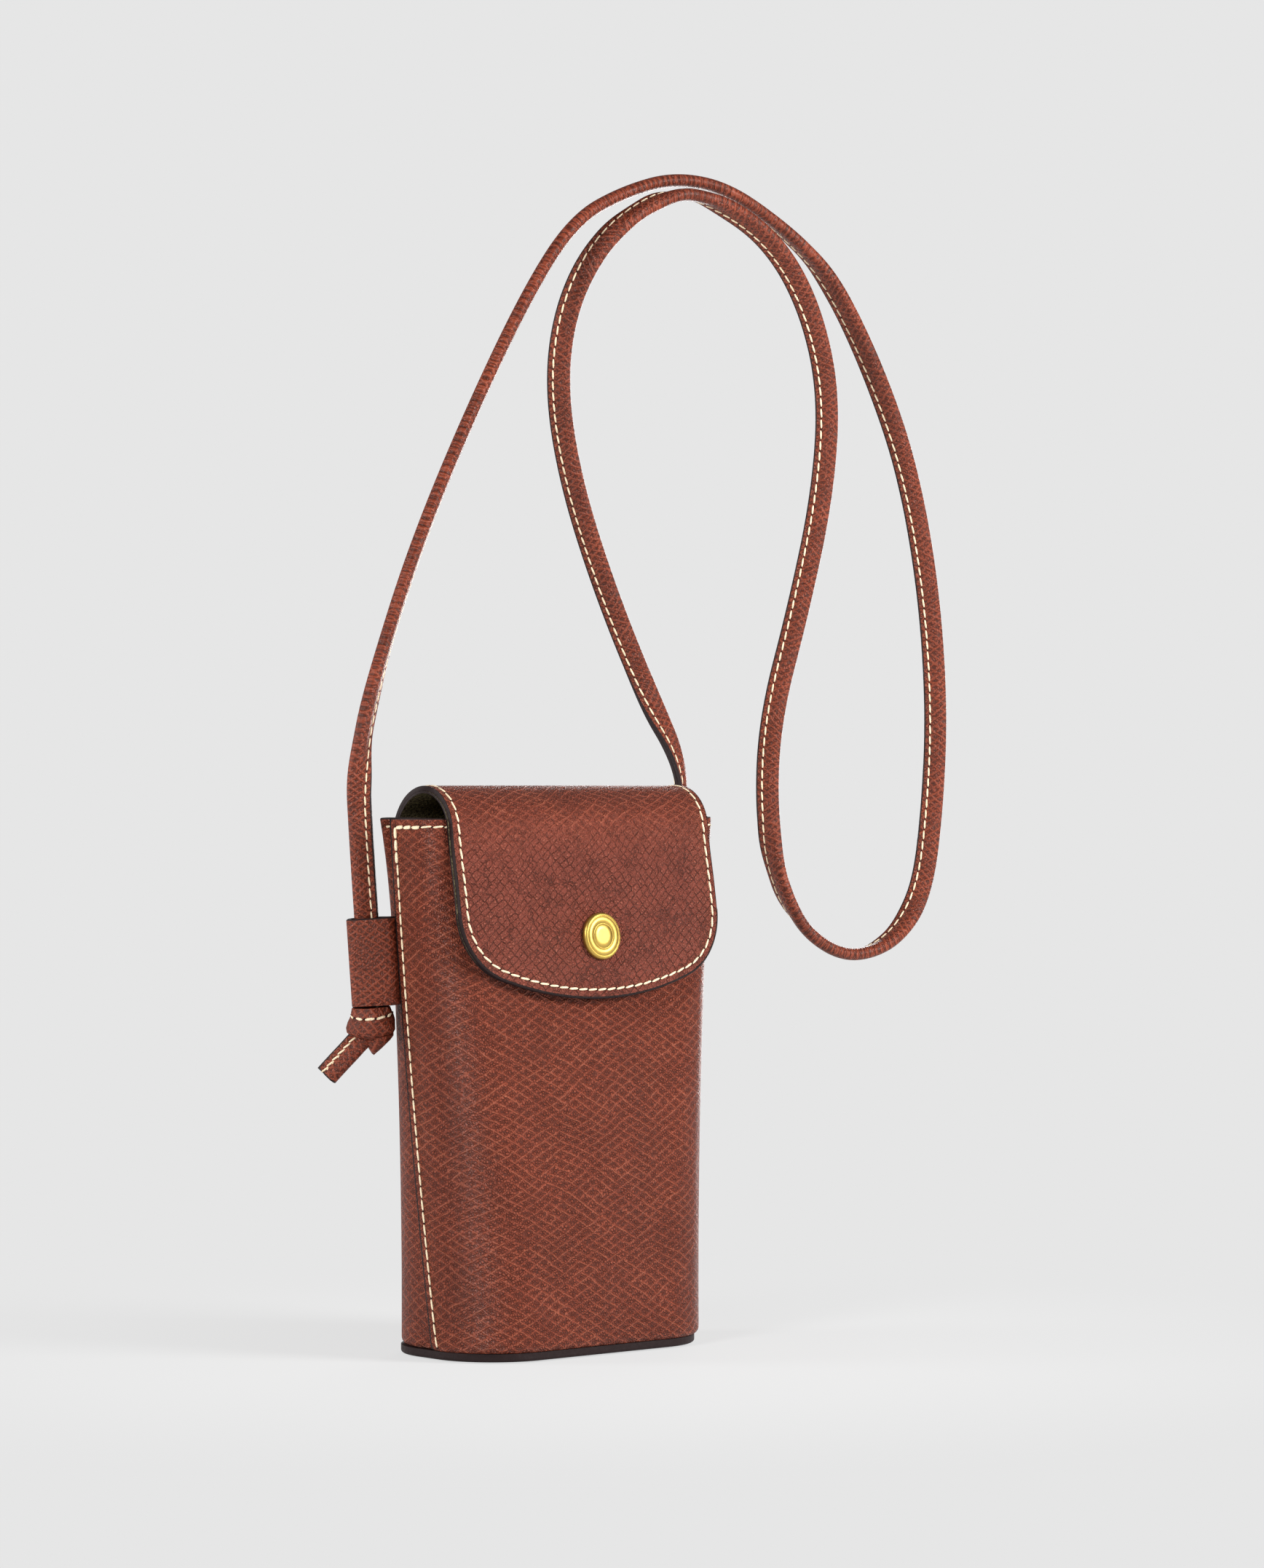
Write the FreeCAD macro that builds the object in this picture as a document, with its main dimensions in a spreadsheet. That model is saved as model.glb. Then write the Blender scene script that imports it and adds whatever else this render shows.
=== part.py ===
# Phone pouch: a soft leather body on a flat sole, a flap held by a press stud, and a knotted strap.
# X is the width, -Y the front and +Z up. The origin is the middle of the sole's underside.

import FreeCAD
import Part
import Sketcher

import math
import os
import re

from FreeCAD import Placement, Rotation, Vector

sizes = {
    # Leather and lining
    "leather": 1.6,
    "lining": 0.7,
    "layer_clear": 0.3,
    "overrun": 12.0,
    # Body: rounded rectangles at the base, half way up and at the mouth
    "base_width": 101.0,
    "base_depth": 58.0,
    "base_corner": 24.0,
    "mid_height": 85.0,
    "mid_width": 107.5,
    "mid_depth": 48.0,
    "mid_corner": 20.0,
    "mouth_height": 166.0,
    "mouth_width": 120.0,
    "mouth_depth": 27.0,
    "mouth_corner": 6.5,
    # Side seams: the front panel's edges, and how far the back panel runs on under them
    "seam_mouth_back": 4.5,
    "seam_mid_back": 4.0,
    "seam_base_front": 4.5,
    "wing_overlap": 9.0,
    # Sole, stiffening board and the lining over it
    "sole_thick": 2.6,
    "sole_inset": 1.4,
    "sole_round": 0.9,
    "board_thick": 1.5,
    "board_clear": 0.6,
    # Flap, from the fold at the top of the back panel to the tip
    "flap_inset": 7.0,
    "flap_width": "=mouth_width - 2 * flap_inset",
    "flap_side_clear": 0.4,
    "fold_drop": 3.0,
    "fold_clear": 0.15,
    "flap_drop": 53.0,
    "leg_start_drop": 5.0,
    "leg_start_lean": 12.5,
    "tip_lean": 1.0,
    "tip_radius": 115.0,
    "flap_corner": 22.0,
    # Press stud
    "snap_rise": 19.5,
    "cap_radius": 7.3,
    "cap_thick": 1.9,
    "cap_edge": 1.2,
    "cap_slope": 1.0,
    "post_radius": 1.5,
    "post_roll_radius": 2.1,
    "post_roll": 0.25,
    "hole_clear": 0.15,
    "socket_radius": 5.8,
    "socket_thick": 2.2,
    "socket_floor": 0.4,
    "socket_bore": 2.9,
    "spring_radius": 2.62,
    "spring_wire": 0.22,
    "spring_inset": 0.5,
    "spring_gap": 0.8,
    "snap_seat": 0.2,
    "stud_flange_radius": 4.5,
    "stud_flange": 0.5,
    "stud_radius": 2.4,
    "stud_waist_radius": 2.0,
    "stud_top_radius": 1.2,
    "stud_height": 1.6,
    "rivet_radius": 1.4,
    "rivet_head_radius": 4.5,
    "rivet_head": 0.6,
    # Keepers: leather loops on the side seams
    "keeper_drop": 44.0,
    "keeper_height": 27.0,
    "keeper_leather": 1.2,
    "keeper_slot_width": 9.5,
    "keeper_slot_gap": 4.6,
    "keeper_slot_corner": 2.0,
    "keeper_tab": 2.5,
    "keeper_turn": 45.0,
    # Strap: a folded strip, knotted under each keeper
    "strap_width": 7.5,
    "strap_thick": 4.0,
    "strap_corner": 1.5,
    "strap_stand": 3.0,
    "strap_lead": 18.0,
    "knot_width": 15.5,
    "knot_height": 13.0,
    "knot_depth": 12.0,
    "knot_grip": 1.5,
    "tail_length": 17.0,
    "tail_turn": 135.0,
    # Stitching
    "stitch_pitch": 3.8,
    "stitch_length": 2.8,
    "stitch_margin": 3.0,
    "thread_radius": 0.4,
    "thread_lift": 0.1,
}

# The strap's route over its peg, from above the left keeper to above the right one
strap_route = [
    (-70, 8, 183), (-64, 6, 211), (-50, 4, 250), (-29, 4, 291), (-4, 5, 332),
    (17, 8, 356), (40, 11, 367), (64, 12, 374), (91, 13, 374), (116, 13, 359), (134, 13, 346),
    (152, 13, 317), (167, 12, 284), (176, 10, 244), (180, 9, 203), (177, 8, 169), (172, 8, 140),
    (159, 8, 124), (138, 8, 118), (118, 8, 127), (105, 8, 144), (100, 8, 169), (102, 8, 199),
    (112, 5, 235), (121, 3, 273), (124, 3, 307), (115, 3, 335), (100, 3, 354), (80, 4, 364),
    (60, 5, 368), (41, 6, 362), (29, 12, 348), (22, 18, 329), (23, 24, 305), (34, 30, 276),
    (52, 35, 243), (66, 30, 208), (72, 17, 181),
]
# The strip is spliced after this many bends
splice_bend_count = 18
bend_share = 0.45

doc = FreeCAD.newDocument("PhonePouch")
sheet = doc.addObject("Spreadsheet::Sheet", "Sizes")
for row, (alias, value) in enumerate(sizes.items(), start=1):
    sheet.set(f"A{row}", alias)
    sheet.set(f"B{row}", str(value))
    sheet.setAlias(f"B{row}", alias)
doc.recompute()

up = Vector(0, 0, 1)
nodes = []


# Reading the sheet

def sheet_name(word):
    name = word.group()
    return "Sizes." + name if name in sizes else name


def tied(text):
    return re.sub(r"[a-z_]+", sheet_name, text)


def worth(text):
    return float(sheet.evalExpression(tied(text)))


def keep(item, node):
    item.Label = node
    nodes.append(item)
    return item


# Sketches

def add_sketch(body, name, plane):
    sketch = body.newObject("Sketcher::SketchObject", name)
    origin_plane = next(feature for feature in body.Origin.OriginFeatures if feature.Role == plane)
    sketch.AttachmentSupport = (origin_plane, [""])
    sketch.MapMode = "FlatFace"
    return sketch


def set_size(sketch, constraint, text):
    index = sketch.addConstraint(constraint)
    sketch.setExpression(f"Constraints[{index}]", tied(text))


def pin(sketch, edge, end, across, along):
    for kind, axis, text in (("DistanceX", -2, across), ("DistanceY", -1, along)):
        value = worth(text)
        if value == 0:
            sketch.addConstraint(Sketcher.Constraint("PointOnObject", edge, end, axis))
        elif value > 0:
            set_size(sketch, Sketcher.Constraint(kind, -1, 1, edge, end, value), text)
        else:
            set_size(sketch, Sketcher.Constraint(kind, edge, end, -1, 1, -value), f"-({text})")


def join(sketch, kind, edges):
    for edge, following in zip(edges, edges[1:] + edges[:1]):
        sketch.addConstraint(Sketcher.Constraint(kind, edge, 2, following, 1))


def polygon(sketch, corners):
    points = [Vector(worth(across), worth(along), 0) for across, along in corners]
    for point, following in zip(points, points[1:] + points[:1]):
        sketch.addGeometry(Part.LineSegment(point, following))
    join(sketch, "Coincident", list(range(len(points))))
    for edge, (across, along) in enumerate(corners):
        pin(sketch, edge, 1, across, along)


def rounded_rectangle(sketch, width, depth, corner):
    half_width = worth(width) / 2
    half_depth = worth(depth) / 2
    radius = worth(corner)
    flat = half_width - radius
    side = half_depth - radius
    ends = [
        ((-flat, -half_depth), (flat, -half_depth), (flat, -side)),
        ((half_width, -side), (half_width, side), (flat, side)),
        ((flat, half_depth), (-flat, half_depth), (-flat, side)),
        ((-half_width, side), (-half_width, -side), (-flat, -side)),
    ]
    first = sketch.GeometryCount
    for quarter, (start, end, centre) in enumerate(ends):
        sketch.addGeometry(Part.LineSegment(Vector(*start, 0), Vector(*end, 0)))
        circle = Part.Circle(Vector(*centre, 0), up, radius)
        turn = math.pi / 2
        sketch.addGeometry(Part.ArcOfCircle(circle, (quarter - 1) * turn, quarter * turn))
    edges = list(range(first, sketch.GeometryCount))
    front, arc, right, _, back, _, left, _ = edges
    join(sketch, "Tangent", edges)
    for level, upright in ((front, right), (back, left)):
        sketch.addConstraint(Sketcher.Constraint("Horizontal", level))
        sketch.addConstraint(Sketcher.Constraint("Vertical", upright))
    for other in edges[3::2]:
        sketch.addConstraint(Sketcher.Constraint("Equal", arc, other))
    sketch.addConstraint(Sketcher.Constraint("Symmetric", front, 1, back, 1, -1, 1))
    set_size(sketch, Sketcher.Constraint("Radius", arc, radius), corner)
    set_size(sketch, Sketcher.Constraint("DistanceX", left, 1, right, 1, half_width * 2), width)
    set_size(sketch, Sketcher.Constraint("DistanceY", front, 1, back, 1, half_depth * 2), depth)


def add_body(name):
    return doc.addObject("PartDesign::Body", name)


def pad(body, sketch, length):
    feature = body.newObject("PartDesign::Pad", sketch.Name + "Pad")
    feature.Profile = sketch
    feature.setExpression("Length", tied(length))
    return feature


def rounded_pad(name, width, depth, corner, length, height="0"):
    body = add_body(name)
    sketch = add_sketch(body, name + "Outline", "XY_Plane")
    sketch.setExpression("AttachmentOffset.Base.z", tied(height))
    rounded_rectangle(sketch, width, depth, corner)
    pad(body, sketch, length)
    return body


def turned(name, corners):
    body = add_body(name)
    sketch = add_sketch(body, name + "Half", "XZ_Plane")
    polygon(sketch, corners)
    feature = body.newObject("PartDesign::Revolution", name + "Turn")
    feature.Profile = sketch
    feature.ReferenceAxis = (sketch, ["V_Axis"])
    feature.Angle = 360
    return body


def boolean(kind, name, base, tool):
    result = doc.addObject("Part::" + kind, name)
    result.Base = base
    result.Tool = tool
    return result


# Body forms: one loft for each face between the layers

body_sections = {
    "Base": ("sole_thick", "base_width", "base_depth", "base_corner"),
    "Mid": ("mid_height", "mid_width", "mid_depth", "mid_corner"),
    "Mouth": ("mouth_height", "mouth_width", "mouth_depth", "mouth_corner"),
}


def form(name, inset):
    body = add_body(name)
    sections = []
    for label, (height, width, depth, corner) in body_sections.items():
        sketch = add_sketch(body, name + label, "XY_Plane")
        sketch.setExpression("AttachmentOffset.Base.z", tied(height))
        both = f"2 * ({inset})"
        rounded_rectangle(sketch, f"{width} - {both}", f"{depth} - {both}", f"{corner} - ({inset})")
        sections.append(sketch)
    loft = body.newObject("PartDesign::AdditiveLoft", name + "Loft")
    loft.Profile = sections[0]
    loft.Sections = sections[1:]
    return body


outer_form = form("OuterForm", "0")
under_form = form("UnderForm", "leather")
front_inner_form = form("FrontInnerForm", "leather + lining")
back_inner_form = form("BackInnerForm", "2 * leather")
back_cavity_form = form("BackCavityForm", "2 * leather + lining")


# Side seams: a gentle arc, seen from the side, parts the front from the back

def seam_region(name, forward, front):
    body = add_body(name)
    sketch = add_sketch(body, name + "Side", "YZ_Plane")
    foot = (f"-seam_base_front - ({forward})", "0")
    bend = (f"seam_mid_back - ({forward})", "mid_height")
    head = (f"seam_mouth_back - ({forward})", "mouth_height")
    far = "-(base_depth + overrun)" if front else "base_depth + overrun"
    far_top = (far, "mouth_height + overrun")
    far_foot = (far, "0")
    crown = (head[0], "mouth_height + overrun")
    corners = (foot, bend, head, crown, far_top, far_foot)
    points = [Vector(worth(across), worth(along), 0) for across, along in corners]
    arc = Part.Arc(*points[:3])
    first_gap = (arc.value(arc.FirstParameter) - points[0]).Length
    last_gap = (arc.value(arc.LastParameter) - points[0]).Length
    foot_end, head_end = (1, 2) if first_gap < last_gap else (2, 1)
    sketch.addGeometry(arc)
    for point, following in zip(points[2:], points[3:] + points[:1]):
        sketch.addGeometry(Part.LineSegment(point, following))
    sketch.addConstraint(Sketcher.Constraint("Coincident", 0, head_end, 1, 1))
    for line in (1, 2, 3):
        sketch.addConstraint(Sketcher.Constraint("Coincident", line, 2, line + 1, 1))
    sketch.addConstraint(Sketcher.Constraint("Coincident", 4, 2, 0, foot_end))
    middle = sketch.addGeometry(Part.Point(points[1]), True)
    pin(sketch, middle, 1, *bend)
    sketch.addConstraint(Sketcher.Constraint("PointOnObject", middle, 1, 0))
    pin(sketch, 0, foot_end, *foot)
    pin(sketch, 0, head_end, *head)
    for line, corner in ((2, crown), (3, far_top), (4, far_foot)):
        pin(sketch, line, 1, *corner)
    feature = pad(body, sketch, "2 * (mouth_width + overrun)")
    feature.Midplane = True
    return body


front_region = seam_region("FrontRegion", "0", True)
back_region = seam_region("BackRegion", "wing_overlap", False)
front_lining_region = seam_region("FrontLiningRegion", "wing_overlap + layer_clear", True)

front_shell = boolean("Cut", "FrontShell", outer_form, under_form)
front_wall = boolean("Common", "FrontWall", front_shell, front_region)
front_skin_shell = boolean("Cut", "FrontSkinShell", under_form, front_inner_form)
front_skin = boolean("Common", "FrontSkin", front_skin_shell, front_lining_region)
back_shell = boolean("Cut", "BackShell", under_form, back_inner_form)
back_wall = boolean("Common", "BackWall", back_shell, back_region)
back_skin_shell = boolean("Cut", "BackSkinShell", back_inner_form, back_cavity_form)
back_skin = boolean("Common", "BackSkin", back_skin_shell, back_region)

# The flap's fold lowers the back panel's middle; its wings stand up to the mouth

fold_notch = doc.addObject("Part::Box", "FoldNotch")
for side, text in (("Length", "flap_width + 2 * flap_side_clear"), ("Width", "base_depth"),
                   ("Height", "fold_drop + overrun")):
    fold_notch.setExpression(side, tied(text))
fold_notch.setExpression("Placement.Base.x", tied("-flap_width / 2 - flap_side_clear"))
fold_notch.setExpression("Placement.Base.z", tied("mouth_height - fold_drop"))

keep(boolean("Cut", "BackPanel", back_wall, fold_notch), "back_panel")
keep(boolean("Cut", "BackLining", back_skin, fold_notch), "back_lining")

# Sole, board and the lining over the board

sole = rounded_pad("Sole", "base_width - 2 * sole_inset", "base_depth - 2 * sole_inset",
                   "base_corner - sole_inset", "sole_thick")
doc.recompute()
sole_rim = sole.newObject("PartDesign::Fillet", "SoleRim")
sole_pad = sole.Group[1]
rim_edges = [f"Edge{index}" for index, edge in enumerate(sole_pad.Shape.Edges, start=1)
             if edge.BoundBox.ZMax < sole_pad.Shape.BoundBox.Center.z]
sole_rim.Base = (sole_pad, rim_edges)
sole_rim.setExpression("Radius", tied("sole_round"))
keep(sole, "sole")

inner_inset = "2 * leather + lining + board_clear"
inner_floor = [f"base_width - 2 * ({inner_inset})", f"base_depth - 2 * ({inner_inset})",
               f"base_corner - ({inner_inset})"]
keep(rounded_pad("BaseBoard", *inner_floor, "board_thick", "sole_thick"), "base_board")
keep(rounded_pad("BaseLining", *inner_floor, "lining", "sole_thick + board_thick"), "base_lining")
doc.recompute()


# Points on the forms

def surface_point(form_body, start, direction):
    reach = worth("2 * (mouth_width + mouth_height)")
    inside = form_body.Shape.common(Part.makeLine(start, start + direction * reach))
    return min((vertex.Point for vertex in inside.Vertexes), key=lambda point: (point - start).Length)


def surface_normal(form_body, point):
    spot = Part.Vertex(point)
    face = min(form_body.Shape.Faces, key=lambda each: each.distToShape(spot)[0])
    return face.normalAt(*face.Surface.parameter(point))


def seam_back(height):
    seam = Part.Arc(Vector(0, worth("-seam_base_front"), 0),
                    Vector(0, worth("seam_mid_back"), worth("mid_height")),
                    Vector(0, worth("seam_mouth_back"), worth("mouth_height"))).toShape().Curve
    bulge = math.copysign(1, worth("seam_mid_back") - seam.Center.y)
    return seam.Center.y + bulge * math.sqrt(seam.Radius ** 2 - (height - seam.Center.z) ** 2)


def front_point(height):
    return surface_point(outer_form, Vector(0, worth("-base_depth"), height), Vector(0, 1, 0))


def back_point(height):
    return surface_point(under_form, Vector(0, worth("base_depth"), height), Vector(0, -1, 0))


# Flap, seen from the side: an arch over the mouth, a short straight and a long gentle curve down
# the front. A heading is measured from straight up towards the front.

fold_height = worth("mouth_height - fold_drop")
fold = back_point(fold_height)
below_fold = back_point(fold_height - worth("leather"))
fold_heading = math.atan2(below_fold.y - fold.y, worth("leather"))
leg_heading = math.pi - math.radians(worth("leg_start_lean"))
tip_heading = math.pi - math.radians(worth("tip_lean"))

leg_top = fold_height - worth("leg_start_drop")
tip_height = fold_height - worth("flap_drop")
leg_radius = (leg_top - tip_height) / (math.sin(leg_heading) - math.sin(tip_heading))

flap_thick = "(leather + lining)"
snap_stack = f"({flap_thick} + snap_seat + socket_thick + snap_seat + stud_flange + snap_seat)"
snap_height = tip_height + worth("snap_rise")
snap_heading = math.pi - math.asin(math.sin(leg_heading) - (leg_top - snap_height) / leg_radius)
snap_axis = Vector(0, math.cos(snap_heading), math.sin(snap_heading))
snap_point = front_point(snap_height - snap_axis.z * worth(snap_stack)) + snap_axis * worth(snap_stack)


def heading_out(heading):
    return Vector(0, math.cos(heading), math.sin(heading))


leg_centre = snap_point - heading_out(snap_heading) * leg_radius
leg_start = leg_centre + heading_out(leg_heading) * leg_radius
spread = math.cos(fold_heading) - math.cos(leg_heading)
rise = math.sin(leg_heading) - math.sin(fold_heading)
straight = ((fold_height - leg_start.z + rise * (fold.y - leg_start.y) / spread)
            / (-math.cos(leg_heading) + rise * math.sin(leg_heading) / spread))
arch_radius = (fold.y - leg_start.y - straight * math.sin(leg_heading)) / spread
arch_centre = fold - heading_out(fold_heading) * arch_radius


def flap_line(depth):
    half_turn = (fold_heading + leg_heading) / 2
    arch = [arch_centre + heading_out(heading) * (arch_radius - depth)
            for heading in (fold_heading, half_turn, leg_heading)]
    leg = [leg_centre + heading_out(heading) * (leg_radius - depth)
           for heading in (leg_heading, (leg_heading + tip_heading) / 2, tip_heading)]
    return [Part.Arc(*arch), Part.LineSegment(arch[2], leg[0]), Part.Arc(*leg)]


def flap_outline(margin):
    side = worth("flap_width") / 2 - margin
    corner = worth("flap_corner") - margin
    tip = worth("tip_radius") - margin
    tip_centre = Vector(0, 0, tip_height + worth("tip_radius"))
    corner_side = side - corner
    corner_height = tip_centre.z - math.sqrt((tip - corner) ** 2 - corner_side ** 2)
    lean = (Vector(corner_side, 0, corner_height) - tip_centre).normalize()
    half = (Vector(1, 0, 0) + lean).normalize()
    right = [Vector(corner_side, 0, corner_height) + way * corner for way in (Vector(1, 0, 0), half, lean)]
    left = [Vector(-point.x, 0, point.z) for point in right]
    bottom = Vector(0, 0, tip_centre.z - tip)
    return [Part.Arc(*left), Part.Arc(left[2], bottom, right[2]), Part.Arc(*right[::-1])]


def flap_blank(depth, thick):
    half_length = worth("flap_width / 2 + overrun")
    outside = flap_line(depth)
    inside = flap_line(depth + thick)
    first = Part.LineSegment(outside[0].StartPoint, inside[0].StartPoint)
    last = Part.LineSegment(outside[2].EndPoint, inside[2].EndPoint)
    edges = [curve.toShape() for curve in outside + inside + [first, last]]
    profile = Part.Face(Part.Wire(Part.__sortEdges__(edges)))
    profile.translate(Vector(-half_length, 0, 0))
    strip = profile.extrude(Vector(2 * half_length, 0, 0))

    curves = flap_outline(0)
    crown = fold_height + worth("base_depth")
    left, right = curves[0].StartPoint, curves[2].EndPoint
    high_left = Vector(left.x, 0, crown)
    high_right = Vector(right.x, 0, crown)
    corners = (right, high_right, high_left, left)
    sides = [Part.LineSegment(*ends) for ends in zip(corners, corners[1:])]
    outline = Part.Face(Part.Wire([curve.toShape() for curve in curves + sides]))
    outline.translate(Vector(0, worth("-2 * base_depth"), 0))
    cutter = outline.extrude(Vector(0, worth("4 * base_depth"), 0))

    foot = Part.makeBox(2 * half_length, worth("base_depth"), worth("mouth_height"))
    foot.translate(Vector(-half_length, 0, fold_height + worth("fold_clear") - worth("mouth_height")))
    return strip.common(cutter).cut(foot)


def flap_layer(name, depth, thick):
    layer = doc.addObject("Part::Feature", name)
    layer.Shape = flap_blank(depth, thick)
    return layer


# Press stud: cap, socket and its spring on the flap; stud and rivet on the front panel

snap_place = Placement(snap_point, Rotation(up, snap_axis))
socket_top = f"-({flap_thick} + snap_seat)"
socket_inside = f"({socket_top} - socket_floor)"
socket_mouth = f"({socket_top} - socket_thick)"
stud_seat = f"(snap_seat - {snap_stack})"
stud_base = f"({stud_seat} + stud_flange)"
rivet_seat = f"({stud_seat} - {flap_thick} - 2 * snap_seat)"
post_hole = "post_radius + hole_clear"


def snap_piece(name, node, corners):
    body = turned(name, corners)
    body.Placement = snap_place
    return keep(body, node)


snap_piece("SnapCap", "snap_cap", [
    ("0", f"{socket_inside} - post_roll"),
    ("post_roll_radius", f"{socket_inside} - post_roll"),
    ("post_roll_radius", socket_inside),
    ("post_radius", socket_inside),
    ("post_radius", "0"),
    ("cap_radius", "0"),
    ("cap_radius", "cap_edge"),
    ("cap_radius - cap_slope", "cap_thick"),
    ("0", "cap_thick"),
])
snap_piece("SnapSocket", "snap_socket", [
    (post_hole, socket_top),
    ("socket_radius", socket_top),
    ("socket_radius", socket_mouth),
    ("socket_bore", socket_mouth),
    ("socket_bore", socket_inside),
    (post_hole, socket_inside),
])
snap_piece("SnapStud", "snap_stud", [
    ("0", stud_seat),
    ("stud_flange_radius", stud_seat),
    ("stud_flange_radius", stud_base),
    ("stud_radius", stud_base),
    ("stud_waist_radius", f"{stud_base} + stud_height / 2"),
    ("stud_top_radius", f"{stud_base} + stud_height"),
    ("0", f"{stud_base} + stud_height"),
])
snap_piece("StudRivet", "stud_rivet", [
    ("0", stud_seat),
    ("rivet_radius", stud_seat),
    ("rivet_radius", rivet_seat),
    ("rivet_head_radius", rivet_seat),
    ("rivet_head_radius", f"{rivet_seat} - rivet_head"),
    ("0", f"{rivet_seat} - rivet_head"),
])

spring_place = snap_place * Placement(up * worth(f"{socket_mouth} + spring_inset"), Rotation())
spring_ring = doc.addObject("Part::Torus", "SpringRing")
spring_ring.setExpression("Radius1", tied("spring_radius"))
spring_ring.setExpression("Radius2", tied("spring_wire"))
spring_ring.Placement = spring_place
spring_slit = doc.addObject("Part::Box", "SpringSlit")
spring_slit.setExpression("Length", tied("2 * spring_radius"))
spring_slit.setExpression("Width", tied("spring_gap"))
spring_slit.setExpression("Height", tied("4 * spring_wire"))
slit_corner = Vector(0, worth("-spring_gap / 2"), worth("-2 * spring_wire"))
spring_slit.Placement = spring_place * Placement(slit_corner, Rotation())
keep(boolean("Cut", "SnapSpring", spring_ring, spring_slit), "snap_spring")


def snap_hole(name, radius):
    hole = doc.addObject("Part::Cylinder", name)
    hole.setExpression("Radius", tied(radius))
    hole.setExpression("Height", tied("2 * overrun"))
    return hole


cap_hole = snap_hole("CapHole", post_hole)
cap_hole.Placement = snap_place * Placement(up * worth("-overrun"), Rotation())
stud_hole = snap_hole("StudHole", "rivet_radius + hole_clear")
stud_hole.Placement = snap_place * Placement(up * worth(f"-overrun - {snap_stack}"), Rotation())

keep(boolean("Cut", "FrontPanel", front_wall, stud_hole), "front_panel")
keep(boolean("Cut", "FrontLining", front_skin, stud_hole), "front_lining")
flap = flap_layer("FlapBlank", 0, worth("leather"))
flap_skin = flap_layer("FlapSkinBlank", worth("leather"), worth("lining"))
keep(boolean("Cut", "Flap", flap, cap_hole), "flap")
keep(boolean("Cut", "FlapLining", flap_skin, cap_hole), "flap_lining")


# Keepers, with the strap's ends, knots and tails, the same on both sides

def keeper_place(side):
    middle = worth("mouth_height - keeper_drop")
    half = worth("keeper_height / 2")
    spots = []
    for height in (middle - half, middle, middle + half):
        start = Vector(side * worth("mouth_width"), seam_back(height) + worth("layer_clear"), height)
        spots.append(surface_point(under_form, start, Vector(-side, 0, 0)))
    turn = math.radians(worth("keeper_turn"))
    outward = Vector(side * math.cos(turn), math.sin(turn), 0)
    stand = worth("keeper_leather") * math.tan(turn) + worth("layer_clear") / math.cos(turn)
    reach = worth("keeper_slot_width / 2 + keeper_leather + keeper_tab")
    rising = (spots[2] - spots[0]).normalize()
    facing = Rotation(outward, rising.cross(outward), rising, "ZXY")
    return Placement(spots[1] + outward * (stand + reach), facing)


def add_keeper(name, place):
    body = add_body(name)
    ring = add_sketch(body, name + "Ring", "XY_Plane")
    rounded_rectangle(ring, "keeper_slot_width + 2 * keeper_leather", "keeper_slot_gap + 2 * keeper_leather",
                      "keeper_slot_corner + keeper_leather")
    rounded_rectangle(ring, "keeper_slot_width", "keeper_slot_gap", "keeper_slot_corner")
    root = add_sketch(body, name + "Root", "XY_Plane")
    near = "-(keeper_slot_width / 2 + keeper_leather / 2)"
    far = "-(keeper_slot_width / 2 + keeper_leather + keeper_tab)"
    polygon(root, [(far, "-keeper_leather"), (near, "-keeper_leather"), (near, "keeper_leather"),
                   (far, "keeper_leather")])
    for sketch in (ring, root):
        sketch.setExpression("AttachmentOffset.Base.z", tied("-keeper_height / 2"))
        pad(body, sketch, "keeper_height")
    body.Placement = place
    return body


strap_section = ("strap_width", "strap_thick", "strap_corner")
strap_ends = {}
for side, hand in ((-1, "left"), (1, "right")):
    place = keeper_place(side)
    name = hand.capitalize()
    keep(add_keeper("Keeper" + name, place), "keeper_" + hand)

    strap_end = rounded_pad("StrapEnd" + name, *strap_section, "keeper_height + 2 * strap_stand",
                            "-(keeper_height / 2 + strap_stand)")
    strap_end.Placement = place
    keep(strap_end, f"strap_{hand}_end")
    end_top = "keeper_height / 2 + strap_stand"
    strap_ends[hand] = [place.multVec(up * worth(height)) for height in (end_top, end_top + " + strap_lead")]

    knot_place = place * Placement(
        up * worth("knot_grip - keeper_height / 2 - strap_stand - knot_height / 2"), Rotation())
    knot = doc.addObject("Part::Ellipsoid", "Knot" + name)
    for radius, across in (("Radius1", "knot_height"), ("Radius2", "knot_width"), ("Radius3", "knot_depth")):
        knot.setExpression(radius, tied(across + " / 2"))
    knot.Placement = knot_place
    keep(knot, "knot_" + hand)

    tail = rounded_pad("Tail" + name, *strap_section, "tail_length", "knot_height / 2 - knot_grip")
    tail.Placement = knot_place * Placement(Vector(), Rotation(Vector(0, 1, 0), worth("tail_turn")))
    keep(tail, "tail_" + hand)

# Strap runs: a round tube of the folded strip's section, in straight runs joined by tangent arcs

strap_radius = math.sqrt(worth("strap_width * strap_thick") / math.pi)


def bend(before, corner, after):
    back = before - corner
    on = after - corner
    reach = bend_share * min(back.Length, on.Length)
    half_turn = (math.pi - back.getAngle(on)) / 2
    radius = reach / math.tan(half_turn)
    start = corner + back.normalize() * reach
    end = corner + on.normalize() * reach
    inward = ((start + end) / 2 - corner).normalize()
    middle = corner + inward * (radius / math.cos(half_turn) - radius)
    return Part.Arc(start, middle, end), radius


def strap_path(points):
    edges = []
    radii = []
    at = points[0]
    for before, corner, after in zip(points, points[1:], points[2:]):
        arc, radius = bend(before, corner, after)
        edges += [Part.makeLine(at, arc.StartPoint), arc.toShape()]
        radii.append(round(radius))
        at = arc.EndPoint
    edges.append(Part.makeLine(at, points[-1]))
    print("strap radii", radii)
    return edges


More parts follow.
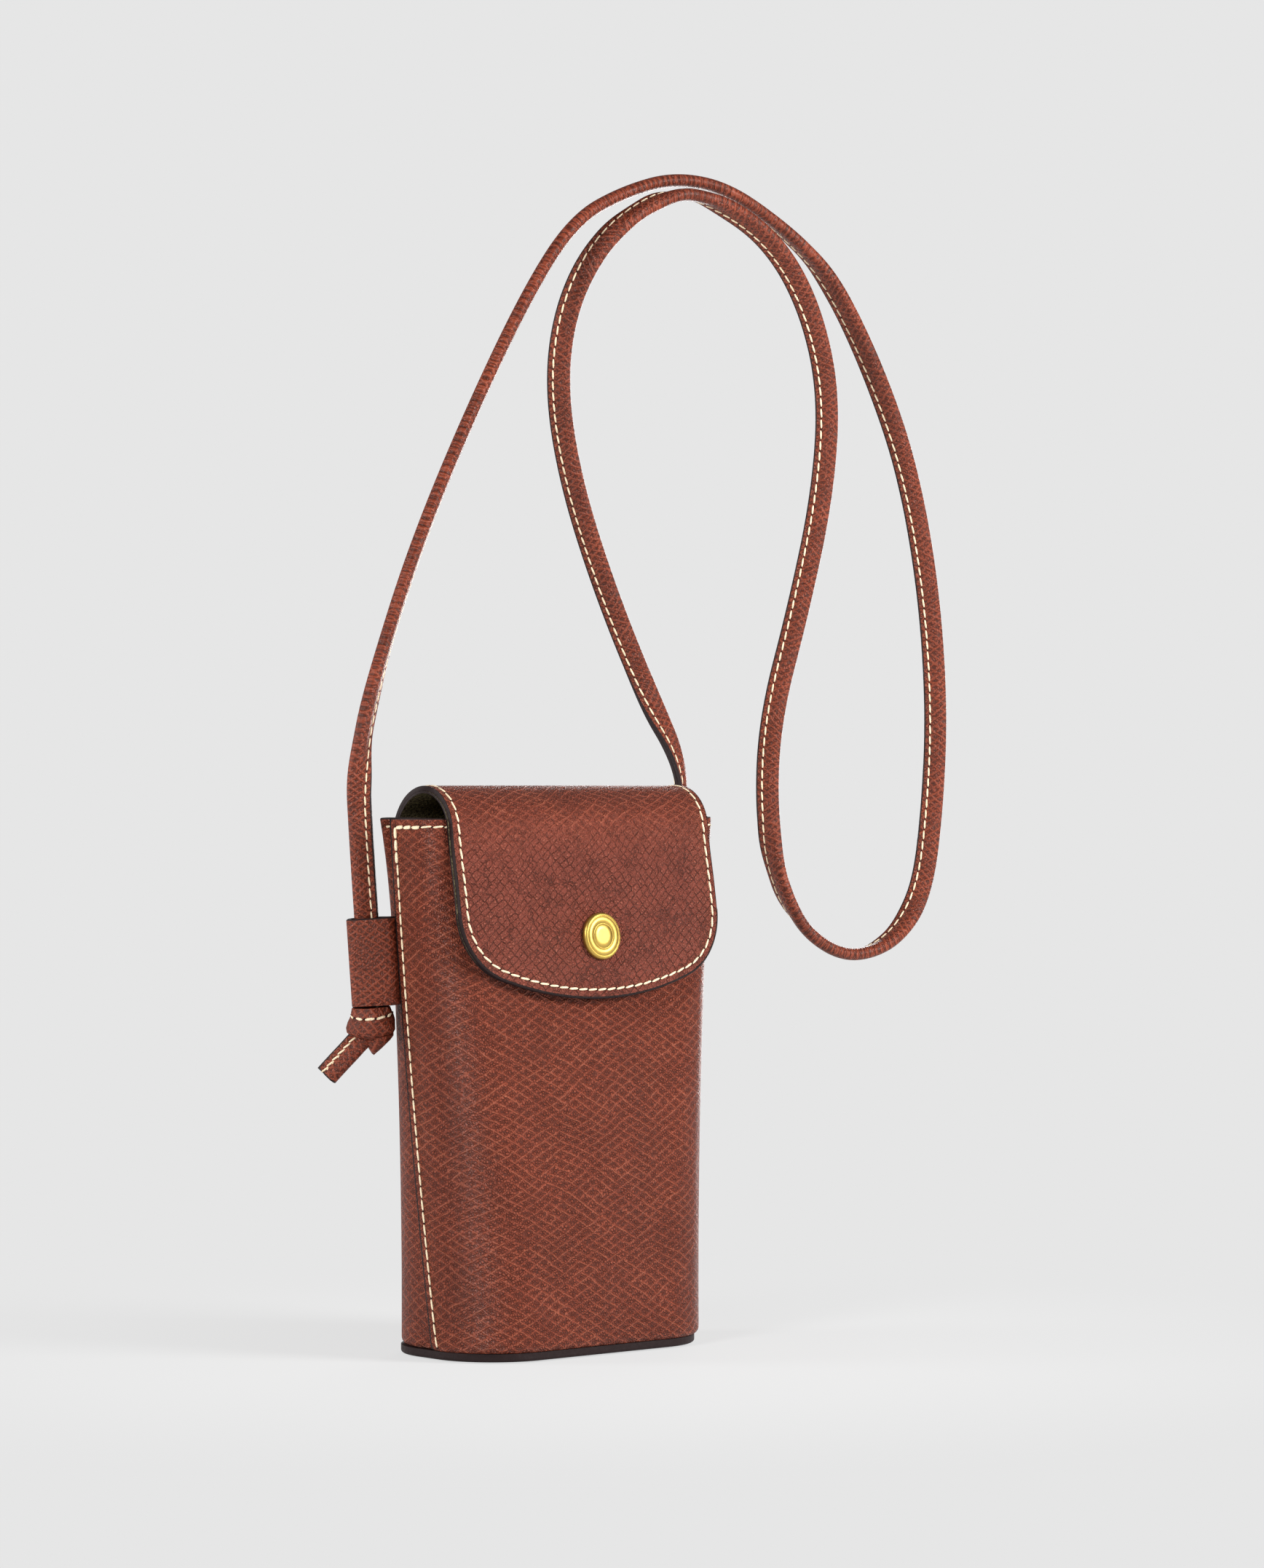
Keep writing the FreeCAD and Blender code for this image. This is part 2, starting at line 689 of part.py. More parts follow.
def strap_run(name, edges):
    path = Part.Wire(edges)
    start = edges[0].valueAt(edges[0].FirstParameter)
    section = Part.Wire(Part.makeCircle(strap_radius, start, edges[0].tangentAt(edges[0].FirstParameter)))
    run = doc.addObject("Part::Feature", name)
    run.Shape = path.makePipeShell([section], True, False)
    volume_share = run.Shape.Volume / (math.pi * strap_radius ** 2 * path.Length)
    print(f"{name}: length {path.Length:.0f} mm, volume {volume_share:.4f} of section times length")
    return run


route = strap_ends["left"] + [Vector(*point) for point in strap_route] + strap_ends["right"][::-1]
path_edges = strap_path(route)
splice_edge = 2 * splice_bend_count
spliced = path_edges[splice_edge]
splice = spliced.CenterOfMass
left_part = Part.makeLine(spliced.Vertexes[0].Point, splice)
right_part = Part.makeLine(splice, spliced.Vertexes[1].Point)
keep(strap_run("StrapLeftRun", path_edges[:splice_edge] + [left_part]), "strap_left_run")
keep(strap_run("StrapRightRun", [right_part] + path_edges[splice_edge + 1:]), "strap_right_run")
doc.recompute()


# Stitching: each stitch is a short length of thread that lies on the leather

def thread(point, direction, normal):
    length = worth("stitch_length")
    start = point + normal * worth("thread_radius + thread_lift") - direction * (length / 2)
    return Part.makeCylinder(worth("thread_radius"), length, start, direction)


def stitch_rows(name, node, rows):
    stitches = []
    for row in rows:
        before = row[:1] + row[:-1]
        after = row[1:] + row[-1:]
        for (point, normal), (start, _), (end, _) in zip(row, before, after):
            across = normal.cross(end - start)
            stitches.append(thread(point, across.cross(normal).normalize(), normal))
    group = doc.addObject("Part::Feature", name)
    group.Shape = Part.makeCompound(stitches)
    return keep(group, node)


def steps(start, end):
    count = max(1, round(abs(end - start) / worth("stitch_pitch")))
    return [start + (end - start) * index / count for index in range(count + 1)]


def on_form(form_body, point):
    return point, surface_normal(form_body, point)


def seam_row(side):
    row = []
    margin = worth("stitch_margin")
    for height in steps(worth("sole_thick") + margin, worth("mouth_height") - margin):
        start = Vector(side * worth("mouth_width"), seam_back(height) - margin, height)
        row.append(on_form(outer_form, surface_point(outer_form, start, Vector(-side, 0, 0))))
    return row


def level_row(form_body, left, right, front, back):
    margin = worth("stitch_margin")
    height = worth("mouth_height") - margin
    ring = form_body.Shape.slice(up, height)[0]
    room = Part.makeBox(right - left, back - front, 2 * margin, Vector(left, front, height - margin))
    row = Part.Wire(Part.__sortEdges__(ring.common(room).Edges))
    count = max(1, round(row.Length / worth("stitch_pitch"))) + 1
    return [on_form(form_body, point) for point in row.discretize(Number=count)]


def mouth_row():
    front_end = seam_back(worth("mouth_height - stitch_margin")) - worth("2 * stitch_margin")
    side = worth("mouth_width")
    return level_row(outer_form, -side, side, worth("-base_depth"), front_end)


def wing_rows():
    wing_start = seam_back(worth("mouth_height - stitch_margin")) + worth("stitch_length")
    beside_flap = worth("flap_width / 2 + stitch_margin / 2")
    side = worth("mouth_width")
    back = worth("base_depth")
    return [level_row(under_form, -side, -beside_flap, wing_start, back),
            level_row(under_form, beside_flap, side, wing_start, back)]


def on_leg(point):
    heading = math.pi - math.asin((point.z - leg_centre.z) / leg_radius)
    spot = leg_centre + heading_out(heading) * leg_radius
    return Vector(point.x, spot.y, spot.z), heading_out(heading)


def flap_rows():
    pitch = worth("stitch_pitch")
    curves = flap_outline(worth("stitch_margin"))
    side = curves[2].EndPoint
    profile = Part.Wire([curve.toShape() for curve in flap_line(0)])
    points = profile.discretize(Distance=pitch)
    track = []
    for before, point, after in zip(points, points[1:], points[2:]):
        if point.z > side.z + pitch / 2:
            track.append((point, (after - before).cross(Vector(1, 0, 0)).normalize()))
    sides = [[(Vector(across, point.y, point.z), normal) for point, normal in track]
             for across in (-side.x, side.x)]
    lower = Part.Wire([curve.toShape() for curve in curves])
    round_row = [on_leg(point) for point in lower.discretize(Number=round(lower.Length / pitch))]
    return sides + [round_row]


stitch_rows("SeamStitchesLeft", "seam_stitches_left", [seam_row(-1)])
stitch_rows("SeamStitchesRight", "seam_stitches_right", [seam_row(1)])
stitch_rows("MouthStitches", "mouth_stitches", [mouth_row()])
stitch_rows("WingStitches", "wing_stitches", wing_rows())
stitch_rows("FlapStitches", "flap_stitches", flap_rows())

doc.recompute()

for item in doc.Objects:
    if {"Invalid", "Error"} & set(item.State):
        raise RuntimeError(f"{item.Label} failed: {item.State}")
for item in nodes:
    if item.Shape.isNull() or not item.Shape.isValid():
        raise RuntimeError(f"{item.Label} has no valid shape")

os.makedirs("parts", exist_ok=True)
for item in nodes:
    item.Shape.exportStep(f"parts/{item.Label}.step")

print(f"fold line at y {fold.y:.3f}, z {fold_height:.3f}")
print(f"top of the arch at z {arch_centre.z + arch_radius:.2f}")
print(f"snap at {snap_point}, axis {snap_axis}, arch radius {arch_radius:.2f}, straight {straight:.2f}")
print(f"{len(nodes)} nodes")
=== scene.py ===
from math import asin, copysign, cos, hypot, pi, radians, sin, sqrt, tan

import bmesh
import bpy
from mathutils import Matrix, Vector


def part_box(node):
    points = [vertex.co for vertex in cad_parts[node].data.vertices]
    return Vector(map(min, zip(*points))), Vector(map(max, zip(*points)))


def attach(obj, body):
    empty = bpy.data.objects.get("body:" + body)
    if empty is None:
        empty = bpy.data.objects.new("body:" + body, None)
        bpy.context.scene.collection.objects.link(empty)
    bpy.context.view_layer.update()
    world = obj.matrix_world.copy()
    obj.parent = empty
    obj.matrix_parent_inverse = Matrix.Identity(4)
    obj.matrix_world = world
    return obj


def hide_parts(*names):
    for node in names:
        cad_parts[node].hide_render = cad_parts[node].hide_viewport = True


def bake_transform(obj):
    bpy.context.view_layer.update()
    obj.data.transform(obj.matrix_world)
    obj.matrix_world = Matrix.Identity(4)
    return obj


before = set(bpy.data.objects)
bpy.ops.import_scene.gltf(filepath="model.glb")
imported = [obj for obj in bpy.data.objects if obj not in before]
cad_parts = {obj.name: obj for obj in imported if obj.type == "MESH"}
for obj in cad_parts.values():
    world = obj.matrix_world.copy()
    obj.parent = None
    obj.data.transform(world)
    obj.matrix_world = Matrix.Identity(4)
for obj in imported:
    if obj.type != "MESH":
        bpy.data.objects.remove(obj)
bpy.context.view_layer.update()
mm = 0.001
up = Vector((0, 0, 1))
scene = bpy.context.scene


def newObject(name, data):
    made = bpy.data.objects.new(name, data)
    scene.collection.objects.link(made)
    return made


# Camera

view = {"turn": 41, "place": (-963.07, -1147.68, 176.8), "lens": 109.32}
viewTurn = radians(view["turn"])
away = Vector((sin(viewTurn), cos(viewTurn), 0))    # from the camera into the picture
toRight = Vector((cos(viewTurn), -sin(viewTurn), 0))    # along the picture

lens = bpy.data.cameras.new("camera")
lens.sensor_fit = "VERTICAL"
lens.sensor_height = 36
lens.lens = view["lens"]
camera = newObject("camera", lens)
camera.location = Vector(view["place"]) * mm
camera.rotation_euler = (pi / 2, 0, -viewTurn)
scene.camera = camera
scene.view_settings.view_transform = "Standard"


# Shader helpers

def linear(red, green, blue):
    return tuple(((part / 255 + 0.055) / 1.055) ** 2.4 for part in (red, green, blue)) + (1,)


class Wire:    # one socket of a material, with sums that add the nodes they need
    def __init__(self, tree, socket=None):
        self.tree = tree
        self.socket = socket

    def node(self, kind, settings=None, inputs=None, output=0):
        made = self.tree.nodes.new("ShaderNode" + kind)
        for name, value in (settings or {}).items():
            if name == "stops":
                ramp = made.color_ramp.elements
                while len(ramp) < len(value):
                    ramp.new(1)
                for stop, (place, colour) in zip(ramp, value):
                    stop.position = place
                    stop.color = colour
            else:
                setattr(made, name, value)
        for name, value in (inputs or {}).items():
            if isinstance(value, Wire):
                self.tree.links.new(value.socket, made.inputs[name])
            else:
                made.inputs[name].default_value = value
        return Wire(self.tree, made.outputs[output])

    def out(self, index):
        return Wire(self.tree, self.socket.node.outputs[index])

    def math(self, operation, *values):
        return self.node("Math", {"operation": operation}, dict(enumerate(values)))

    def vector(self, operation, other, socket=1):
        return self.node("VectorMath", {"operation": operation}, {0: self, socket: other})

    def part(self, index):    # x, y or z of a vector
        return self.node("SeparateXYZ", None, {0: self}, index)

    def ease(self, low, high, start, end):
        return self.node("MapRange", {"interpolation_type": "SMOOTHSTEP"},
                         {0: self, 1: low, 2: high, 3: start, 4: end})

    def blend(self, first, second):    # self is the share of the second colour
        return self.node("Mix", {"data_type": "RGBA"}, {0: self, 6: first, 7: second}, 2)

    def grain(self, size, detail=2.0, rough=0.5):
        return self.node("TexNoise", None,
                         {"Vector": self, "Scale": size, "Detail": detail, "Roughness": rough})

    def __add__(self, other):
        return self.math("ADD", self, other)

    def __sub__(self, other):
        return self.math("SUBTRACT", self, other)

    def __rsub__(self, other):
        return self.math("SUBTRACT", other, self)

    def __mul__(self, other):
        return self.math("MULTIPLY", self, other)

    __radd__ = __add__
    __rmul__ = __mul__


def newFinish(name, plain):    # plain values are the same all over the surface
    finish = bpy.data.materials.new(name)
    finish.use_nodes = True
    shader = finish.node_tree.nodes["Principled BSDF"]
    for socket, value in plain.items():
        shader.inputs[socket].default_value = value
    return finish, shader, Wire(finish.node_tree)


def feed(shader, socket, wire):
    wire.tree.links.new(wire.socket, shader.inputs[socket])


def bump(wire, height, depth):
    return wire.node("Bump", None, {"Strength": 1.0, "Distance": depth * mm, "Height": height})


def skinPlace(wire):    # place across and along the hide, and distance from a painted edge, in millimetres
    place = wire.node("Attribute", {"attribute_name": "skin"}, None, 1).vector("SCALE", 1 / mm, 3)
    return place.vector("MULTIPLY", (1, 1, 0)), place.part(2)


def objectPlace(wire):    # place in the object's own frame, in millimetres
    return wire.node("TexCoord", None, None, 3).vector("SCALE", 1 / mm, 3)


# Hides: a net of thin slanted ridges, or bricks pressed flat between grooves, over fine pebbles

edgeColour = linear(30, 20, 20)
hideLook = {
    "bends": ((0.04, 5.0), (0.45, 0.8)),    # slow bends of the grain, then its small waves
    "fine": (2.8, 3.0, 0.65), "fineRise": 0.26, "pebbleRim": 0.42, "pressed": 0.6,
    "paintedShadeStops": (0.12, 0.38, 0.82), "patch": 0.045, "patchTones": (0.3, 0.7, 0.92, 1.06),
    "paint": (0.85, 1.0), "paintWander": 0.15, "roughness": (0.32, 0.14),
    "plain": {"Specular IOR Level": 0.3, "Specular Tint": (1.0, 0.92, 0.86, 1)},
}
# Where a net comes and goes: scale and detail of the patches, their spread, and the least strength
netLook = {"patches": (0.1, 2.0, 0.38, 0.62, 0.35), "breaks": (0.55, 1.0, 0.32, 0.5, 0.35),
           "bricks": (0.25, 2.0, 0.3, 0.6, 0.65),
           "apart": (40, 0, 0), "crest": 0.7, "foot": 0.3, "footWidth": 0.8}
# Colours from pits to ridges: the pits carry painted shade, the ridges a painted highlight
bodyHide = {"cell": 5.8, "slant": 29, "ridge": 0.28, "level": 0.0, "net": 0.48,
            "pebble": 0.82, "pebbles": 0.34, "depth": 2.2,
            "colours": (linear(76, 28, 15), linear(142, 66, 46), linear(174, 100, 75))}
flapHide = {"from": (194, 220), "brick": (2.9, 2.0), "scatter": 0.28, "slant": 40, "ridge": 0.13,
            "level": 0.2, "net": -0.2, "pebble": 0.95, "pebbles": 0.38, "depth": 2.2,
            "colours": (linear(70, 28, 17), linear(132, 64, 50), linear(168, 96, 77))}
strapHide = {"cell": 3.2, "slant": 36, "ridge": 0.5, "level": 0.0, "net": 0.4,
             "pebble": 0.9, "pebbles": 0.28, "depth": 0.8,
             "colours": (linear(60, 22, 11), linear(124, 54, 34), linear(148, 77, 54))}


def fading(place, size, detail, low, high, least):
    return place.grain(size, detail).ease(low, high, least, 1.0)


def ridgeNet(place, moved, look):    # two families of slanted ridges
    across = moved.part(0) * (1 / look["cell"])
    along = moved.part(1) * (1 / look["cell"] / tan(radians(look["slant"])))
    ridges = []
    for line, spot in ((along - across, (0, 0, 0)), (along + across, netLook["apart"])):
        beside = line.math("PINGPONG", line, 0.5) * 2
        shifted = place.vector("ADD", spot)
        strength = fading(shifted, *netLook["patches"]) * fading(shifted, *netLook["breaks"])
        crest = beside.ease(0.0, look["ridge"], 1.0, 0.0) * netLook["crest"]
        foot = beside.ease(0.0, netLook["footWidth"], netLook["foot"], 0.0)
        ridges.append((crest + foot) * strength)
    return ridges[0].math("MAXIMUM", *ridges)


def brickNet(place, moved, look):    # grooves round small slanted bricks
    turned = moved.node("VectorRotate", {"rotation_type": "Z_AXIS"},
                        {"Vector": moved, "Angle": radians(look["slant"])})
    sized = turned.vector("DIVIDE", (*look["brick"], 1))
    bricks = sized.node("TexVoronoi", {"feature": "DISTANCE_TO_EDGE"},
                        {"Vector": sized, "Scale": 1.0, "Randomness": look["scatter"]})
    return bricks.ease(0.0, look["ridge"], 1.0, 0.0) * fading(place, *netLook["bricks"])


def hideRelief(place, moved, fine, look):    # relief in millimetres, and colour
    net = (brickNet if "brick" in look else ridgeNet)(place, moved, look)
    cells = moved.node("TexVoronoi", {"feature": "DISTANCE_TO_EDGE"},
                       {"Vector": moved, "Scale": 1 / look["pebble"]})
    pebbles = cells.ease(0.0, hideLook["pebbleRim"], 0.0, 1.0) * look["pebbles"]
    height = look["level"] + net * look["net"] + pebbles * (1 - net * hideLook["pressed"])
    height = height + fine * hideLook["fineRise"]
    # Colour follows height: painted shade in the pits and grooves, painted highlight on the ridges
    stops = list(zip(hideLook["paintedShadeStops"], look["colours"]))
    return height * look["depth"], height.node("ValToRGB", {"stops": stops}, {0: height})


def hideFinish(name, look, later=None):    # a hide may change into another look along its length
    finish, shader, wire = newFinish(name, hideLook["plain"])
    place, gap = skinPlace(wire)
    moved = place
    for size, reach in hideLook["bends"]:
        drift = place.grain(size).out(1).vector("SUBTRACT", (0.5, 0.5, 0.5))
        moved = moved.vector("ADD", drift.vector("SCALE", reach, 3))
    fine = place.grain(*hideLook["fine"])
    relief, colour = hideRelief(place, moved, fine, look)
    if later:
        share = moved.part(1).ease(*later["from"], 0.0, 1.0)
        reliefAfter, colourAfter = hideRelief(place, moved, fine, later)
        relief = relief * (1 - share) + reliefAfter * share
        colour = share.blend(colour, colourAfter)
    shade = place.grain(hideLook["patch"]).ease(*hideLook["patchTones"])    # darker and lighter patches
    tint = shade.node("CombineColor", None, {0: shade, 1: shade, 2: shade})
    coloured = wire.node("Mix", {"data_type": "RGBA", "blend_type": "MULTIPLY"},
                         {0: 1.0, 6: colour, 7: tint}, 2)
    # Edge paint runs a little way over the grain side of a cut edge
    painted = (gap + fine * hideLook["paintWander"]).ease(*hideLook["paint"], 1.0, 0.0)
    feed(shader, "Base Color", painted.blend(coloured, edgeColour))
    feed(shader, "Roughness", hideLook["roughness"][0] + fine * hideLook["roughness"][1])
    feed(shader, "Normal", bump(wire, relief, 1.0))
    return finish


# Other finishes: two colours in fine specks

paintLook = {"plain": {"Specular IOR Level": 0.14}, "specks": (0.7, 3.0), "roughness": (0.4, 0.2),
             "relief": 0.15, "brighter": 1.6}
threadLook = {"plain": {"Roughness": 0.55}, "specks": (3.2, 2.0), "spread": (0.3, 0.7), "relief": 0.12,
              "colours": (linear(214, 188, 148), linear(246, 230, 200))}
liningLook = {"plain": {"Metallic": 0.35}, "specks": (1.6, 3.0, 0.7), "spread": (0.35, 0.68), "relief": 0.3,
              "roughness": (0.62, -0.2), "colours": (linear(74, 62, 42), linear(186, 170, 128))}
brassLook = {"plain": {"Metallic": 1.0}, "specks": (0.8, 4.0, 0.6), "roughness": (0.34, 0.16),
             "colours": (linear(178, 146, 68), linear(198, 168, 90))}
boardLook = {"plain": {"Roughness": 0.8}, "specks": (0.9, 4.0), "relief": 0.2,
             "colours": (linear(120, 104, 82), linear(158, 140, 112))}


def speckledFinish(name, look):
    finish, shader, wire = newFinish(name, look["plain"])
    specks = objectPlace(wire).grain(*look["specks"])
    share = specks.ease(*look["spread"], 0.0, 1.0) if "spread" in look else specks
    feed(shader, "Base Color", share.blend(*look["colours"]))
    if "roughness" in look:
        feed(shader, "Roughness", look["roughness"][0] + specks * look["roughness"][1])
    if "relief" in look:
        feed(shader, "Normal", bump(wire, specks, look["relief"]))
    return finish


def paintFinish(name, colour):
    bright = tuple(part * paintLook["brighter"] for part in colour[:3]) + (1,)
    return speckledFinish(name, dict(paintLook, colours=(colour, bright)))


bodyLeather = hideFinish("bodyLeather", bodyHide)
flapLeather = hideFinish("flapLeather", bodyHide, flapHide)
strapLeather = hideFinish("strapLeather", strapHide)
edgePaint = paintFinish("edgePaint", edgeColour)
# Needle holes: a near-black colour painted as the shade inside each hole
needleHoleShade = paintFinish("needleHoleShade", linear(26, 14, 11))
thread = speckledFinish("waxedThread", threadLook)
lining = speckledFinish("bronzeLining", liningLook)
brass = speckledFinish("polishedBrass", brassLook)
board = speckledFinish("fibreBoard", boardLook)
print("finishes ready")


# Mesh helpers

noPaint = 0.01    # far from any painted edge
tiny = 1e-5


def clamp(value):
    return min(1.0, max(0.0, value))


def eased(share):    # slow at both ends
    return share * share * (3 - 2 * share)


def evenSteps(start, end, steps):
    return [start + (end - start) * step / steps for step in range(steps + 1)]


def ringPairs(ring):
    return list(zip(ring, ring[1:] + ring[:1]))


def addRing(bm, last, stations, slots=()):    # starts a tube, or draws it on from its last ring
    skin = bm.verts.layers.float_vector.get("skin") or bm.verts.layers.float_vector.new("skin")
    if last is None:
        ring = [bm.verts.new(point) for point, _ in stations]
        for pair in ringPairs(ring):
            bm.edges.new(pair)
    else:
        edges = [bm.edges.get(pair) for pair in ringPairs(last)]
        made = bmesh.ops.extrude_edge_only(bm, edges=edges)["geom"]
        fresh = {part for part in made if isinstance(part, bmesh.types.BMVert)}
        ring = [next(edge.other_vert(vert) for edge in vert.link_edges if edge.other_vert(vert) in fresh)
                for vert in last]
        for pair, pairAfter, slot in zip(ringPairs(last), ringPairs(ring), slots):
            bm.faces.get((*pair, *reversed(pairAfter))).material_index = slot
    for vert, (point, mark) in zip(ring, stations):
        vert.co = point
        vert[skin] = mark
    return ring


def closeEnds(bm, slot=0):
    ends = [edge for edge in bm.edges if edge.is_boundary]
    for face in bmesh.ops.holes_fill(bm, edges=ends, sides=0)["faces"]:
        face.material_index = slot
    bmesh.ops.recalc_face_normals(bm, faces=bm.faces)


def asMesh(name, bm):
    mesh = bpy.data.meshes.new(name)
    bm.to_mesh(mesh)
    bm.free()
    return mesh


def newPiece(name, bm, finishes, nodes=(), body="body"):
    mesh = asMesh(name, bm)
    for finish in finishes:
        mesh.materials.append(finish)
    mesh.polygons.foreach_set("use_smooth", [True] * len(mesh.polygons))
    piece = newObject(name, mesh)
    if body:
        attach(piece, body)
    if nodes:
        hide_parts(*nodes)
    return piece


def threadPiece(name, bm, nodes=(), body="body"):
    return newPiece(name, bm, [thread, needleHoleShade], nodes, body)


def headings(points):    # heading along a line of points, at each of them
    before = points[:1] + points[:-1]
    after = points[1:] + points[-1:]
    return [(end - start).normalized() for start, end in zip(before, after)]


hideEdge = {"steps": 6, "lip": (28, 55, 80), "bulge": 0.7}    # rounding of the painted edges


def layHide(bm, rows, thick, lowLip=False, ahead=None, lipShares=None):
    # One closed sheet of hide: rows of (point on the grain side, normal, mark), with rounded painted edges
    half = thick * mm / 2
    steps, bulge = hideEdge["steps"], hideEdge["bulge"]
    lip = [radians(angle) for angle in hideEdge["lip"]]
    turns = [pi * step / steps for step in range(1, steps)]
    count = len(rows[0])
    slots = [0] * (count - 1) + [1] * steps + [0] * (count - 1) + [1] * steps
    shares = lipShares or [1.0] * count
    ahead = ahead or [(end[0] - start[0]).normalized() for start, end in zip(rows[-2], rows[-1])]
    back = [(start[0] - end[0]).normalized() for start, end in zip(rows[0], rows[1])]
    plan = [(rows[0], bend, back, [1] * len(slots)) for bend in reversed(lip)] if lowLip else []
    plan += [(row, 0.0, ahead, slots) for row in rows]
    plan += [(rows[-1], bend, ahead, [1] * len(slots)) for bend in lip]
    ring = None
    for stations, bend, ways, ringSlots in plan:
        high, reach = half * cos(bend), half * bulge * sin(bend)
        middles = [(point - normal * half + way * reach * share, normal * high, mark)
                   for (point, normal, mark), way, share in zip(stations, ways, shares)]
        edges = []
        for edge, inside, face in ((-1, -2, 1), (0, 1, -1)):
            middle, rise, mark = middles[edge]
            outward = (middle - middles[inside][0]).normalized() * high * bulge
            edges.append([(middle + rise * face * cos(turn) + outward * sin(turn), mark)
                          for turn in turns])
        grainSide = [(middle + rise, mark) for middle, rise, mark in middles]
        fleshSide = [(middle - rise, mark) for middle, rise, mark in reversed(middles)]
        ring = addRing(bm, ring, grainSide + edges[0] + fleshSide + edges[1], ringSlots)
    closeEnds(bm, 1)


def evenSpots(spots, pitch):    # (point, normal) pairs at an even pitch along a line of such pairs
    lengths = [0.0]
    for (start, _), (end, _) in zip(spots, spots[1:]):
        lengths.append(lengths[-1] + (end - start).length)
    count = max(1, round(lengths[-1] / (pitch * mm)))
    made = []
    at = 0
    for step in range(count + 1):
        wanted = lengths[-1] * step / count
        while at < len(spots) - 2 and lengths[at + 1] < wanted:
            at += 1
        share = (wanted - lengths[at]) / (lengths[at + 1] - lengths[at])
        (start, normal), (end, normalAfter) = spots[at:at + 2]
        made.append((start.lerp(end, share), normal.lerp(normalAfter, share).normalized()))
    return made


# Stitches: each piece gives their width in millimetres, fill of the pitch and slant in degrees

stitchLook = {"blunt": 0.62, "lift": 0.12, "thick": 0.42, "hole": (0.72, 0.3, 0.22), "holeSlant": 0.55}
bm = bmesh.new()    # a blunt grain of thread, one unit long, wide and high each way
bmesh.ops.create_uvsphere(bm, u_segments=8, v_segments=7, radius=1,
                          matrix=Matrix.Rotation(pi / 2, 4, "Y"))
for vert in bm.verts:
    vert.co.x = copysign(abs(vert.co.x) ** stitchLook["blunt"], vert.co.x)
grainOfThread = asMesh("stitchShape", bm)
# A small flat ball at each needle hole, in the colour of painted shade
bm = bmesh.new()
bmesh.ops.create_icosphere(bm, subdivisions=1, radius=1)
for face in bm.faces:
    face.material_index = 1
needlePrick = asMesh("holeShape", bm)


def addCopy(bm, shape, point, axes, size):
    copy = shape.copy()
    turned = Matrix(axes).transposed().to_4x4()
    copy.transform(Matrix.Translation(point) @ turned @ Matrix.Diagonal((*size, 1)))
    bm.from_mesh(copy)
    bpy.data.meshes.remove(copy)


def addStitch(bm, start, end, normal, width, fill, slant):
    run = end - start
    ahead = (run - normal * run.dot(normal)).normalized()
    ahead.rotate(Matrix.Rotation(radians(slant), 3, normal))
    middle = (start + end) / 2 + normal * width * mm * stitchLook["lift"]
    size = (run.length * fill / 2, width * mm / 2, width * mm * stitchLook["thick"])
    addCopy(bm, grainOfThread, middle, (ahead, normal.cross(ahead), normal), size)


def addHole(bm, point, ahead, normal, width):
    slanted = (normal.cross(ahead).normalized() + ahead * stitchLook["holeSlant"]).normalized()
    size = [width * share * mm for share in stitchLook["hole"]]
    addCopy(bm, needlePrick, point, (slanted, normal.cross(slanted), normal), size)


def sew(bm, spots, width, fill, slant):    # spots are (point, normal) at the needle holes
    for (start, normal), (end, normalAfter) in zip(spots, spots[1:]):
        addStitch(bm, start, end, (normal + normalAfter).normalized(), width, fill, slant)
    for (point, normal), heading in zip(spots, headings([point for point, _ in spots])):
        addHole(bm, point, heading, normal, width)


def routePoints(name, route):    # points along the smooth line that a route of points gives
    curve = bpy.data.curves.new(name, "CURVE")
    curve.dimensions = "3D"
    spline = curve.splines.new("NURBS")
    spline.points.add(len(route) - 1)
    for control, point in zip(spline.points, route):
        control.co = (*(Vector(point) * mm), 1)
    spline.order_u = 3
    spline.use_endpoint_u = True
    spline.resolution_u = 12
    guide = bpy.data.objects.new(name, curve)
    mesh = bpy.data.meshes.new_from_object(guide)
    points = [vert.co.copy() for vert in mesh.vertices]
    bpy.data.objects.remove(guide)
    bpy.data.curves.remove(curve)
    bpy.data.meshes.remove(mesh)
    return points


# Strap: a strip folded lengthwise, with its open edge pressed flat and sewn

strapLook = {
    "route": [
        (-60.48, 12.4, 105.55), (-62.99, 12.73, 138.45), (-64.35, 12.92, 156.4),
        (-70, 8, 183), (-64, 6, 211), (-50, 4, 250), (-29, 4, 291), (-4, 5, 332),
        (17, 8, 356), (40, 11, 367), (64, 12, 374), (90, 13, 372), (116, 13, 359), (134, 13, 346),
        (154, 13, 317), (169, 12, 284), (177, 10, 244), (180, 9, 203), (177, 8, 169), (172, 8, 140),
        (159, 8, 124), (138, 8, 118), (118, 8, 127), (105, 8, 144), (100, 8, 169), (102, 8, 199),
        (112, 5, 235), (121, 3, 273), (124, 3, 307), (115, 3, 335), (100, 3, 354), (80, 4, 365),
        (60, 5, 369), (41, 6, 361), (29, 12, 348), (22, 18, 329), (23, 24, 305), (34, 30, 276),
        (52, 35, 243), (66, 30, 208), (72, 17, 181),
        (64.35, 12.92, 156.4), (62.99, 12.73, 138.45), (60.48, 12.4, 105.55)],
    "width": 7.5, "fold": 2.0, "lip": 1.15, "noseSteps": 12,
    "painted": 0.4, "edgeGap": 0.45, "endGap": 0.4, "stitchFromEdge": 1.9, "stitchLift": 0.02,
    "pitch": 3.6, "stitch": (0.62, 0.84, 4.0),
}
leftOut = Vector((-1, 1, 0)).normalized()    # away from the body at each keeper
rightOut = Vector((1, 1, 0)).normalized()
